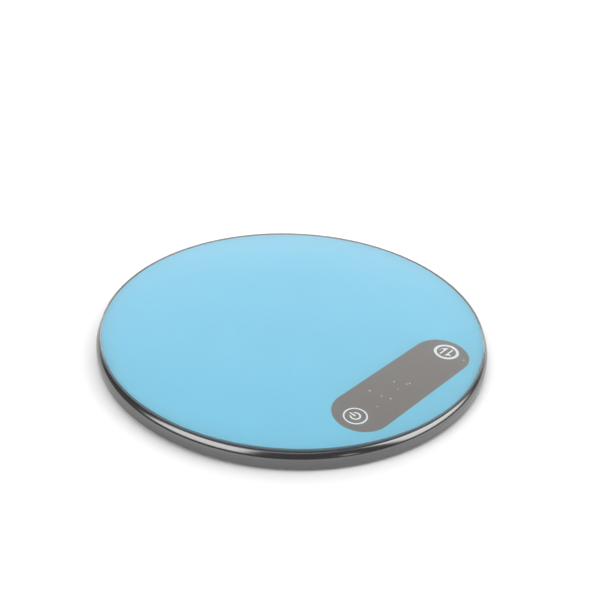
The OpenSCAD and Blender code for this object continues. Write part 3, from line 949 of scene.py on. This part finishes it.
def apply_modifier(piece: bpy.types.Object, kind: str, **settings: object) -> None:
    """Adds one modifier and applies it.

    Args:
        piece: the piece.
        kind: Blender's name of the modifier's type.
        settings: the modifier's own properties.
    """
    pick(piece)
    modifier = piece.modifiers.new(kind.lower(), kind)
    for name, setting in settings.items():
        setattr(modifier, name, setting)
    bpy.ops.object.modifier_apply(modifier=modifier.name)


def combine(piece: bpy.types.Object, tool: bpy.types.Object, how: Meeting) -> None:
    """Changes a piece by another shape, which is then removed.

    Args:
        piece: the piece that stays.
        tool: the shape to work with.
        how: what the shape does to the piece.
    """
    apply_modifier(piece, "BOOLEAN", object=tool, operation=how.value, solver="EXACT")
    bpy.data.objects.remove(tool)


def join(piece: bpy.types.Object, others: list[bpy.types.Object]) -> None:
    """Makes other pieces part of a piece.

    Args:
        piece: the piece that stays.
        others: the pieces that go into it.
    """
    pick(piece)
    for other in others:
        other.select_set(True)
    bpy.ops.object.join()


def ease_edges(piece: bpy.types.Object, wanted: EdgeTest, width: float, steps: int = 3) -> None:
    """Rounds some edges of a piece.

    Args:
        piece: the piece.
        wanted: says whether an edge is rounded.
        width: how far the rounding reaches.
        steps: how many faces the rounding has.
    """
    choose_edges(piece, wanted)
    bpy.ops.mesh.bevel(offset=width * MM, segments=steps, affect="EDGES", clamp_overlap=False)
    done_editing()


def sharp_at(height: float, degrees: float = 30.0, within: float = 0.01) -> EdgeTest:
    """Gives a test for sharp edges that lie flat at a height.

    Args:
        height: the height.
        degrees: the least angle between the edge's faces.
        within: how far off the height an end may be.

    Returns:
        The test.
    """

    def wanted(edge: bmesh.types.BMEdge) -> bool:
        """Says whether an edge is sharp and lies at the height."""
        level = all(abs(v.co.z - height * MM) < within * MM for v in edge.verts)
        return level and edge.calc_face_angle(0.0) > math.radians(degrees)

    return wanted


def upright(edge: bmesh.types.BMEdge) -> bool:
    """Says whether an edge of a square block stands upright."""
    return abs(edge.verts[0].co.z - edge.verts[1].co.z) > MERGE


def smooth(piece: bpy.types.Object, degrees: float) -> None:
    """Shades a piece smooth where its faces meet at less than an angle."""
    pick(piece)
    bpy.ops.object.shade_smooth_by_angle(angle=math.radians(degrees))


def settle(piece: bpy.types.Object) -> None:
    """Puts a piece's place and size into its mesh."""
    pick(piece)
    bpy.ops.object.transform_apply(location=True, rotation=True, scale=True)


def name_piece(piece: bpy.types.Object, name: str) -> None:
    """Names a piece and its mesh."""
    piece.name = name
    piece.data.name = name


def add_object(name: str, data: Union[bpy.types.Mesh, bpy.types.Camera]) -> bpy.types.Object:
    """Puts a mesh or a camera into the scene.

    Args:
        name: the object's name.
        data: what it shows.

    Returns:
        The object.
    """
    made = bpy.data.objects.new(name, data)
    bpy.context.scene.collection.objects.link(made)
    return made


def moved_copy(name: str, piece: bpy.types.Object, move: Matrix) -> bpy.types.Object:
    """Copies a piece with a mesh of its own and moves the copy.

    Args:
        name: the copy's name.
        piece: the piece to copy.
        move: how the copy is moved, in metres.

    Returns:
        The copy.
    """
    copy = add_object(name, piece.data.copy())
    copy.data.transform(move)
    name_piece(copy, name)
    return copy


def merged_copy(name: str, node: str, flat: float = 0.0) -> bpy.types.Object:
    """Copies one of the frame's nodes and merges its loose triangles.

    Args:
        name: the copy's name.
        node: the node's name.
        flat: the angle in degrees under which faces become one, or 0 to leave them.

    Returns:
        The copy.
    """
    copy = add_object(name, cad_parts[node].data.copy())
    copy.data.materials.clear()
    choose_all(copy)
    bpy.ops.mesh.remove_doubles(threshold=MERGE)
    if flat:
        bpy.ops.mesh.dissolve_limited(angle_limit=math.radians(flat))
    done_editing()
    return copy


def drum(
    name: str, radius: float, low: float, high: float, at: Point = (0.0, 0.0), sides: int = 96
) -> bpy.types.Object:
    """Adds a round block to shape further.

    Args:
        name: its name.
        radius: its radius.
        low: its lower face.
        high: its upper face.
        at: its middle.
        sides: how many sides it has.

    Returns:
        The block.
    """
    start_clean()
    bpy.ops.mesh.primitive_cylinder_add(
        vertices=sides,
        radius=radius * MM,
        depth=(high - low) * MM,
        location=(at[0] * MM, at[1] * MM, (low + high) / 2 * MM),
    )
    piece = bpy.context.object
    settle(piece)
    name_piece(piece, name)
    return piece


def slab(name: str, low: Iterable[float], high: Iterable[float]) -> bpy.types.Object:
    """Adds a square block to shape further.

    Args:
        name: its name.
        low: its lowest corner.
        high: its highest corner.

    Returns:
        The block.
    """
    start_clean()
    a = Vector(low)
    b = Vector(high)
    bpy.ops.mesh.primitive_cube_add(size=1.0, location=(a + b) / 2 * MM, scale=(b - a) * MM)
    piece = bpy.context.object
    settle(piece)
    name_piece(piece, name)
    return piece


def turned(name: str, outline: Outline, steps: int = 96) -> bpy.types.Object:
    """Turns an outline about the upright axis by spinning it.

    Args:
        name: its name.
        outline: radius and height of each point, from one end on the axis to the other.
        steps: how many steps a full turn has.

    Returns:
        The closed piece.
    """
    start_clean()
    mesh = bpy.data.meshes.new(name)
    points = [(r * MM, 0.0, z * MM) for r, z in outline]
    mesh.from_pydata(points, [(i, i + 1) for i in range(len(points) - 1)], [])
    piece = add_object(name, mesh)
    choose_all(piece)
    bpy.ops.mesh.spin(steps=steps, angle=2 * math.pi, center=(0, 0, 0), axis=(0, 0, 1))
    bpy.ops.mesh.select_all(action="SELECT")
    bpy.ops.mesh.remove_doubles(threshold=MERGE)
    bpy.ops.mesh.normals_make_consistent(inside=False)
    done_editing()
    return piece


def arc(centre: Point, radius: float, start: float, end: float, steps: int) -> Outline:
    """Gives points along an arc in an outline.

    Args:
        centre: its centre, as radius and height.
        radius: its radius.
        start: its first angle in degrees, from outwards towards up.
        end: its last angle.
        steps: how many steps it has.

    Returns:
        The points, both ends included.
    """
    angles = [math.radians(start + (end - start) * i / steps) for i in range(steps + 1)]
    return [(centre[0] + radius * math.cos(a), centre[1] + radius * math.sin(a)) for a in angles]


def hand_over(
    piece: bpy.types.Object, finish: Finish, body: str, node: str
) -> bpy.types.Object:
    """Dresses a finished piece, attaches it to its body and hides the node that it stands for.

    Args:
        piece: the piece, which keeps any finishes that it already has.
        finish: its finish.
        body: the body that it rides on.
        node: the node that it stands for.

    Returns:
        The piece.
    """
    if not piece.data.materials:
        piece.data.materials.append(finish.material())
    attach(piece, body)
    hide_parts(node)
    log.info("%s: %d faces on %s", piece.name, len(piece.data.polygons), body)
    return piece


# Sub-assemblies, in millimetres and degrees, with their main sizes from the frame

CORNERS = ("front_left", "front_right", "rear_left", "rear_right")
GLASS = extent("glass_platform")
SHELL = extent("upper_shell")
COVER = extent("bottom_cover")
SCREWS = extent("cover_screws")
DOOR = extent("battery_door")
FOOT_CUP = extent("foot_cap_" + CORNERS[0])
FOOT_PAD = extent("foot_pad_" + CORNERS[0])


class DiscFace(Enum):
    """Which of the disc's three finishes a face has, by its place in their list."""

    CLEAR = 0
    INKED = 1
    GROUND = 2


@dataclass(frozen=True)
class Platform:
    """The glass disc on top."""

    radius: float = GLASS.right
    low: float = GLASS.low
    high: float = GLASS.high
    bevel: float = 0.35
    arris: float = 0.06  # how far each corner of the bevels is eased
    arris_stops: tuple[float, ...] = (0.0, 0.33, 0.67, 1.0)
    print_radius: float = extent("blue_print").right
    print_margin: float = 0.01
    facing_down: float = -0.99  # the normal's height below which a face is the disc's back
    steps: int = 256

    def outline(self) -> Outline:
        """Draws the disc's outline, with both rims bevelled and every corner slightly eased.

        Returns:
            The outline.
        """
        corners = [
            (0.0, self.high),
            (self.radius - self.bevel, self.high),
            (self.radius, self.high - self.bevel),
            (self.radius, self.low + self.bevel),
            (self.radius - self.bevel, self.low),
            (0.0, self.low),
        ]
        outline = [(0.0, self.high), (self.radius / 2, self.high)]
        path = [Vector(corner) for corner in corners]
        for before, here, after in zip(path, path[1:], path[2:]):
            start = here + (before - here).normalized() * self.arris
            end = here + (after - here).normalized() * self.arris
            for t in self.arris_stops:
                point = start * (1 - t) ** 2 + here * 2 * t * (1 - t) + end * t**2
                outline.append((point.x, point.y))
        outline += [(self.print_radius, self.low), (0.0, self.low)]
        return outline

    def face_kind(self, reach: float, normal: Vector) -> DiscFace:
        """Sorts the disc's faces.

        Args:
            reach: how far from the axis the face reaches.
            normal: which way it faces.

        Returns:
            Which finish it has.
        """
        if normal.z < self.facing_down and reach < self.print_radius + self.print_margin:
            return DiscFace.INKED
        if reach > self.radius - self.bevel + self.arris:
            return DiscFace.GROUND
        return DiscFace.CLEAR

    def build(self) -> bpy.types.Object:
        """Makes the disc, with its edge ground and its back open to the ink.

        Returns:
            The disc.
        """
        disc = turned("glass_disc", self.outline(), steps=self.steps)
        for finish in (Finishes.glass, Finishes.inked_back, Finishes.ground):
            disc.data.materials.append(finish.material())
        for face in disc.data.polygons:
            reach = max(math.hypot(*disc.data.vertices[v].co.xy) for v in face.vertices)
            face.material_index = self.face_kind(reach / MM, face.normal).value
        smooth(disc, degrees=25.0)
        return hand_over(disc, Finishes.glass, "housing", "glass_platform")


@dataclass(frozen=True)
class Housing:
    """The black shell whose rim shows round the glass."""

    radius: float = SHELL.right
    low: float = SHELL.low
    top: float = SHELL.high
    shoulder: float = 4.5  # the radius of the rim's round shoulder
    shoulder_rise: float = 3.85  # from the shoulder's centre up to the rim's flat top
    shoulder_start: float = 0.4  # how far past the edge of the flat top its arc starts
    shoulder_steps: int = 32
    base_round: float = 0.6
    base_steps: int = 8
    pocket: float = 97.63  # the radius of the recess in the top and of the hollow below
    lip_round: float = 0.08
    lip_middle: float = 0.3  # how far in the middle of that rounding lies, as a share of it
    web_low: float = 7.21
    web_high: float = 8.61
    window_y: float = -71.55
    window_half: float = 30.35
    opening: float = 12.15
    moulded_gap: float = 0.5  # from the hollow's wall to what is taken from the node
    web_gap: float = 0.002  # from the web down to what is taken from the node
    steps: int = 256

    def outline(self) -> Outline:
        """Draws the shell from the web's top, out over the rim and back along the web's bottom.

        Returns:
            The outline.
        """
        ease = self.lip_round
        shoulder = (self.radius - self.shoulder, self.top - self.shoulder_rise)
        steep = math.degrees(math.asin(self.shoulder_rise / self.shoulder))
        base = (self.radius - self.base_round, self.low + self.base_round)
        return [
            (0.0, self.web_high),
            (self.pocket, self.web_high),
            (self.pocket, self.top - ease),
            (self.pocket + ease * self.lip_middle, self.top - ease * self.lip_middle),
            (self.pocket + ease, self.top),
            *arc(shoulder, self.shoulder, steep - self.shoulder_start, 0.0, self.shoulder_steps),
            *arc(base, self.base_round, 0.0, -90.0, self.base_steps),
            (self.pocket + ease, self.low),
            (self.pocket, self.low + ease),
            (self.pocket, self.web_low),
            (0.0, self.web_low),
        ]

    def inside(self) -> bpy.types.Object:
        """Takes the bosses, seats and ribs under the web from a merged copy of the node.

        Returns:
            Those forms as one piece.
        """
        inside = merged_copy("inside", "upper_shell")
        radius = self.pocket - self.moulded_gap
        reach = drum("reach", radius, self.low - OVERSHOOT, self.web_low - self.web_gap)
        combine(inside, reach, Meeting.KEEP_SHARED)
        return inside

    def window_opening(self) -> bpy.types.Object:
        """Makes the shape that cuts the display's opening, which has round ends.

        Returns:
            The cutting shape.
        """
        low = self.web_low - OVERSHOOT
        high = self.web_high + OVERSHOOT
        opening = slab(
            "opening",
            (-self.window_half, self.window_y - self.opening, low),
            (self.window_half, self.window_y + self.opening, high),
        )
        for x in (-self.window_half, self.window_half):
            end = drum("opening_end", self.opening, low, high, (x, self.window_y))
            combine(opening, end, Meeting.ADD)
        return opening

    def build(self) -> bpy.types.Object:
        """Makes the shell with its window opening and what is moulded inside it.

        Returns:
            The shell.
        """
        shell = turned("rim_shell", self.outline(), steps=self.steps)
        combine(shell, self.window_opening(), Meeting.CUT)
        join(shell, [self.inside()])
        smooth(shell, degrees=30.0)
        return hand_over(shell, Finishes.rim, "housing", "upper_shell")


@dataclass(frozen=True)
class BottomCover:
    """The flat cover underneath, with the frame's own bay and slots and eased outer edges."""

    low: float = COVER.low
    ease: float = 0.15
    flat: float = 0.05  # the angle under which faces become one

    def build(self) -> bpy.types.Object:
        """Makes the cover from a merged copy of its node.

        Returns:
            The cover.
        """
        cover = merged_copy("cover_panel", "bottom_cover", self.flat)
        ease_edges(cover, sharp_at(self.low), self.ease)
        smooth(cover, degrees=20.0)
        return hand_over(cover, Finishes.cover, "housing", "bottom_cover")


@dataclass(frozen=True)
class CoverScrews:
    """The cross-head screws that hold the bottom cover."""

    circle: float = 89.53
    turns: tuple[float, ...] = (-90.0, -15.0, 15.0, 90.0, 165.0, 195.0)
    head_low: float = SCREWS.low
    head_high: float = 3.1
    head_radius: float = 2.1
    head_round: float = 0.3
    head_steps: int = 4
    shank_radius: float = 1.15
    tip: float = SCREWS.high
    slot_width: float = 0.6
    slot_length: float = 2.94
    slot_high: float = 2.425
    steps: int = 32

    def screw(self) -> bpy.types.Object:
        """Models one screw on the upright axis.

        Returns:
            The screw.
        """
        corner = (self.head_radius - self.head_round, self.head_low + self.head_round)
        outline = [
            (0.0, self.head_low),
            *arc(corner, self.head_round, -90.0, 0.0, self.head_steps),
            (self.head_radius, self.head_high),
            (self.shank_radius, self.head_high),
            (self.shank_radius, self.tip),
            (0.0, self.tip),
        ]
        made = turned("screw", outline, steps=self.steps)
        low = self.head_low - OVERSHOOT
        long = self.slot_length / 2
        wide = self.slot_width / 2
        for x, y in ((long, wide), (wide, long)):
            combine(made, slab("slot", (-x, -y, low), (x, y, self.slot_high)), Meeting.CUT)
        return made

    def build(self) -> bpy.types.Object:
        """Makes every screw, each turned with its place on the circle.

        Returns:
            The screws as one piece.
        """
        first = self.screw()
        copies = []
        for turn in self.turns:
            spin = Matrix.Rotation(math.radians(turn), 4, "Z")
            move = spin @ Matrix.Translation((self.circle * MM, 0, 0))
            copies.append(moved_copy("cover_screw", first, move))
        bpy.data.objects.remove(first)
        screws = copies[0]
        join(screws, copies[1:])
        name_piece(screws, "cross_head_screws")
        smooth(screws, degrees=35.0)
        return hand_over(screws, Finishes.screw, "housing", "cover_screws")


@dataclass(frozen=True)
class BatteryDoor:
    """The door over the coin cell, with two hooks at one edge and a snap latch at the other."""

    half_length: float = DOOR.right
    front: float = 6.5
    rear: float = 33.5
    low: float = DOOR.low
    high: float = 2.5
    corner: float = 1.5
    corner_steps: int = 8
    ease: float = 0.2
    root: float = 0.2  # how deep the ring and the hooks stand in the panel
    slot_x: float = 4.3
    slot_width: float = 0.6
    slot_length: float = 5.0
    nose_half: float = 2.0
    nose_rear: float = DOOR.rear
    nose_root: float = 0.3
    nose_low: float = 2.1
    hook_x: float = 8.0
    hook_half: float = 2.0
    hook_thick: float = 0.6
    hook_front: float = DOOR.front
    hook_low: float = 2.85
    hook_high: float = DOOR.high
    ring_y: float = 20.0
    ring_outer: float = 5.0
    ring_inner: float = 3.8
    ring_high: float = 2.77
    ring_sides: int = 48
    ridge_half: float = 2.6
    ridge_width: float = 0.5
    ridge_deep: float = 0.2
    ridges: tuple[float, ...] = (29.4, 30.6, 31.8)

    def panel(self) -> bpy.types.Object:
        """Models the panel with its round corners, latch slots and finger ridges.

        Returns:
            The panel.
        """
        panel = slab(
            "battery_door_panel",
            (-self.half_length, self.front, self.low),
            (self.half_length, self.rear, self.high),
        )
        ease_edges(panel, upright, self.corner, self.corner_steps)
        below = self.low - OVERSHOOT
        for x in (-self.slot_x, self.slot_x):
            slot = slab(
                "latch_slot",
                (x - self.slot_width / 2, self.rear - self.slot_length, below),
                (x + self.slot_width / 2, self.rear + OVERSHOOT, self.high + OVERSHOOT),
            )
            combine(panel, slot, Meeting.CUT)
        ease_edges(panel, sharp_at(self.low), self.ease)
        for y in self.ridges:
            ridge = slab(
                "ridge",
                (-self.ridge_half, y - self.ridge_width / 2, below),
                (self.ridge_half, y + self.ridge_width / 2, self.low + self.ridge_deep),
            )
            combine(panel, ridge, Meeting.CUT)
        return panel

    def hook(self, x: float) -> bpy.types.Object:
        """Models one hook: a post and a lip that reaches forward.

        Args:
            x: its middle.

        Returns:
            The hook.
        """
        left = x - self.hook_half
        right = x + self.hook_half
        far = (right, self.front + self.hook_thick, self.hook_high)
        post = slab("hook", (left, self.front, self.high - self.root), far)
        lip = slab("lip", (left, self.hook_front, self.hook_low), far)
        combine(post, lip, Meeting.ADD)
        return post

    def ring(self) -> bpy.types.Object:
        """Models the ring that presses on the cell.

        Returns:
            The ring.
        """
        at = (0.0, self.ring_y)
        sides = self.ring_sides
        ring = drum("ring", self.ring_outer, self.high - self.root, self.ring_high, at, sides)
        bore = drum("bore", self.ring_inner, self.high, self.ring_high + OVERSHOOT, at, sides)
        combine(ring, bore, Meeting.CUT)
        return ring

    def nose(self) -> bpy.types.Object:
        """Models the latch's nose between the slots.

        Returns:
            The nose.
        """
        return slab(
            "nose",
            (-self.nose_half, self.rear - self.nose_root, self.nose_low),
            (self.nose_half, self.nose_rear, self.high),
        )

    def build(self) -> bpy.types.Object:
        """Makes the door.

        Returns:
            The door.
        """
        door = self.panel()
        for part in (self.ring(), self.nose(), self.hook(-self.hook_x), self.hook(self.hook_x)):
            combine(door, part, Meeting.ADD)
        smooth(door, degrees=20.0)
        return hand_over(door, Finishes.cover, "battery_door", "battery_door")


@dataclass(frozen=True)
class Feet:
    """The feet. Each is a stiff cup that presses on its load cell, and a rubber pad."""

    cup_radius: float = 9.5
    cup_low: float = FOOT_CUP.low
    cup_high: float = 3.1
    cup_ease: float = 0.15
    recess: float = 8.55
    recess_ease: float = 0.08
    stem_radius: float = 6.0
    stem_high: float = 4.3
    button_radius: float = 3.0
    button_high: float = FOOT_CUP.high
    pad_radius: float = 8.5
    pad_high: float = FOOT_PAD.high
    edge_round: float = 0.4
    edge_steps: int = 6
    grooves: tuple[float, ...] = (5.78, 3.4)
    groove_width: float = 0.8
    groove_deep: float = 0.3
    groove_ease: float = 0.1
    smooth_under: float = 40.0  # the angle under which faces are shaded as one

    def cup(self) -> bpy.types.Object:
        """Models one cup on the upright axis.

        Returns:
            The cup.
        """
        rounding = (self.cup_radius - self.edge_round, self.cup_low + self.edge_round)
        outline = [
            (0.0, self.pad_high),
            (self.recess, self.pad_high),
            (self.recess, self.cup_low + self.recess_ease),
            (self.recess + self.recess_ease, self.cup_low),
            *arc(rounding, self.edge_round, -90.0, 0.0, self.edge_steps),
            (self.cup_radius, self.cup_high - self.cup_ease),
            (self.cup_radius - self.cup_ease, self.cup_high),
            (self.stem_radius, self.cup_high),
            (self.stem_radius, self.stem_high),
            (self.button_radius, self.stem_high),
            (self.button_radius, self.button_high),
            (0.0, self.button_high),
        ]
        cup = turned("foot_cup", outline)
        smooth(cup, self.smooth_under)
        return cup

    def pad(self) -> bpy.types.Object:
        """Models one pad with its grip grooves on the upright axis.

        Returns:
            The pad.
        """
        rounding = (self.pad_radius - self.edge_round, self.edge_round)
        outline = [(0.0, self.pad_high), (self.pad_radius, self.pad_high)]
        outline += arc(rounding, self.edge_round, 0.0, -90.0, self.edge_steps)
        for inner in self.grooves:
            outer = inner + self.groove_width
            outline += [
                (outer + self.groove_ease, 0.0),
                (outer, self.groove_ease),
                (outer, self.groove_deep),
                (inner, self.groove_deep),
                (inner, self.groove_ease),
                (inner - self.groove_ease, 0.0),
            ]
        outline.append((0.0, 0.0))
        pad = turned("rubber_pad", outline)
        smooth(pad, self.smooth_under)
        return pad

    def build(self) -> None:
        """Puts a copy of the cup and of the pad where the frame has each foot."""
        cup = self.cup()
        pad = self.pad()
        for corner in CORNERS:
            body = "foot_" + corner
            node = "foot_cap_" + corner
            low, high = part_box(node)
            middle = (low + high) / 2
            move = Matrix.Translation((middle.x, middle.y, 0))
            copy = moved_copy("foot_cup_" + corner, cup, move)
            hand_over(copy, Finishes.foot, body, node)
            copy = moved_copy("rubber_pad_" + corner, pad, move)
            hand_over(copy, Finishes.rubber, body, "foot_pad_" + corner)
        bpy.data.objects.remove(cup)
        bpy.data.objects.remove(pad)


# Stage


@dataclass(frozen=True)
class PhotoCamera:
    """The camera that took the photograph, found by fitting its round outlines."""

    picture: float = 600.0  # the picture's width, in pixels
    focal: float = 767.55  # the focal length, in pixels
    middle: Point = (293.43, 319.99)  # the pixel that the aimed point falls on
    aim_height: float = 10.12  # the height on the scale's axis that is aimed at, in millimetres
    distance: float = 0.39887  # from there to the camera, in metres
    azimuth: float = -47.214
    elevation: float = 33.247
    roll: float = -2.381
    sensor: float = 36.0
    near_clip: float = 0.01

    def build(self) -> None:
        """Adds the camera so that the aimed point falls on its pixel."""
        a = math.radians(self.azimuth)
        e = math.radians(self.elevation)
        back = Vector((math.sin(a) * math.cos(e), -math.cos(a) * math.cos(e), math.sin(e)))
        level = (-back).to_track_quat("-Z", "Y").to_matrix()
        across = (self.middle[0] - self.picture / 2) / self.focal
        down = (self.middle[1] - self.picture / 2) / self.focal
        ray = Vector((across, -down, -1.0)).normalized()
        aim = Vector((0, 0, -1)).rotation_difference(ray).to_matrix()
        roll = Matrix.Rotation(math.radians(self.roll), 3, "Z")
        turn = level @ roll.transposed() @ aim.transposed()
        data = bpy.data.cameras.new("photo_camera")
        data.sensor_width = self.sensor
        data.lens = self.focal * self.sensor / self.picture
        data.clip_start = self.near_clip
        camera = add_object("photo_camera", data)
        place = Vector((0, 0, self.aim_height * MM)) + back * self.distance
        camera.matrix_world = Matrix.Translation(place) @ turn.to_4x4()
        bpy.context.scene.camera = camera


@dataclass(frozen=True)
class Softbox:
    """A bright patch of the studio's walls, by its direction from the scale in degrees."""

    left: float
    right: float
    low: float
    high: float
    strength: float
    blur: float = 6.0

    def light(self, side: Sock, rise: Sock) -> Sock:
        """Gives its light.

        Args:
            side: degrees round from the camera, towards the camera's own right.
            rise: degrees above the floor.

        Returns:
            Its strength in that direction.
        """
        b = self.blur
        across = side.step(self.left - b, self.left + b) * side.step(self.right + b, self.right - b)
        upwards = rise.step(self.low - b, self.low + b) * rise.step(self.high + b, self.high - b)
        return across * upwards * self.strength


@dataclass(frozen=True)
class Studio:
    """A pale floor, softboxes at both sides, a pale far wall and roof, and a dim rest."""

    camera_azimuth: float = PhotoCamera.azimuth
    boxes: tuple[Softbox, ...] = (
        Softbox(left=-80.0, right=-22.0, low=20.0, high=62.0, strength=3.8),
        Softbox(left=60.0, right=108.0, low=15.0, high=62.0, strength=4.0),
        Softbox(left=28.0, right=34.0, low=13.0, high=25.0, strength=2.0, blur=3.0),
    )
    wall_light: float = 1.75
    wall_start: float = 115.0  # how far to either side of the camera the far wall starts
    wall_full: float = 145.0
    roof_light: float = 1.75
    roof_start: float = 58.0  # how high up the roof starts
    roof_full: float = 74.0
    dim: float = 0.17
    floor_radius: float = 4.0
    floor_sides: int = 96

    def add_floor(self) -> None:
        """Adds the floor, which isn't part of the scale."""
        start_clean()
        bpy.ops.mesh.primitive_circle_add(
            vertices=self.floor_sides, radius=self.floor_radius, fill_type="NGON"
        )
        floor = bpy.context.object
        name_piece(floor, "floor")
        floor.data.materials.append(PaleFloor("pale_floor").material())

    def add_light(self) -> None:
        """Paints the softboxes, the far wall and the roof on the world round the scale."""
        world = bpy.data.worlds.new("studio")
        bpy.context.scene.world = world
        world.use_nodes = True
        graph = Graph(world.node_tree)
        x, y, z = graph.parts(graph.node("ShaderNodeTexCoord", {}, {}, "Generated"))
        a = math.radians(self.camera_azimuth)
        towards = x * math.sin(a) - y * math.cos(a)
        rightwards = x * math.cos(a) + y * math.sin(a)
        side = rightwards.angle(towards) * math.degrees(1)
        rise = z.rise() * math.degrees(1)
        wall = side.size().step(self.wall_start, self.wall_full)
        roof = rise.step(self.roof_start, self.roof_full) * (1 - wall)
        strength = wall * self.wall_light + roof * self.roof_light + self.dim
        for box in self.boxes:
            strength = strength + box.light(side, rise)
        inputs = {"Color": (1.0, 1.0, 1.0, 1.0), "Strength": strength}
        light = graph.node("ShaderNodeBackground", {}, inputs)
        graph.finish(light, "ShaderNodeOutputWorld")

    def build(self) -> None:
        """Adds the floor and the light, and shows colours as they are."""
        self.add_floor()
        self.add_light()
        view = bpy.context.scene.view_settings
        view.view_transform = "Standard"
        view.look = "None"


def main() -> None:
    """Builds everything in order."""
    logging.basicConfig(level=logging.INFO, format="%(message)s")
    PhotoCamera().build()
    Studio().build()
    dress_carried_nodes()
    Platform().build()
    Housing().build()
    BottomCover().build()
    CoverScrews().build()
    BatteryDoor().build()
    Feet().build()


if __name__ == "__main__":
    main()
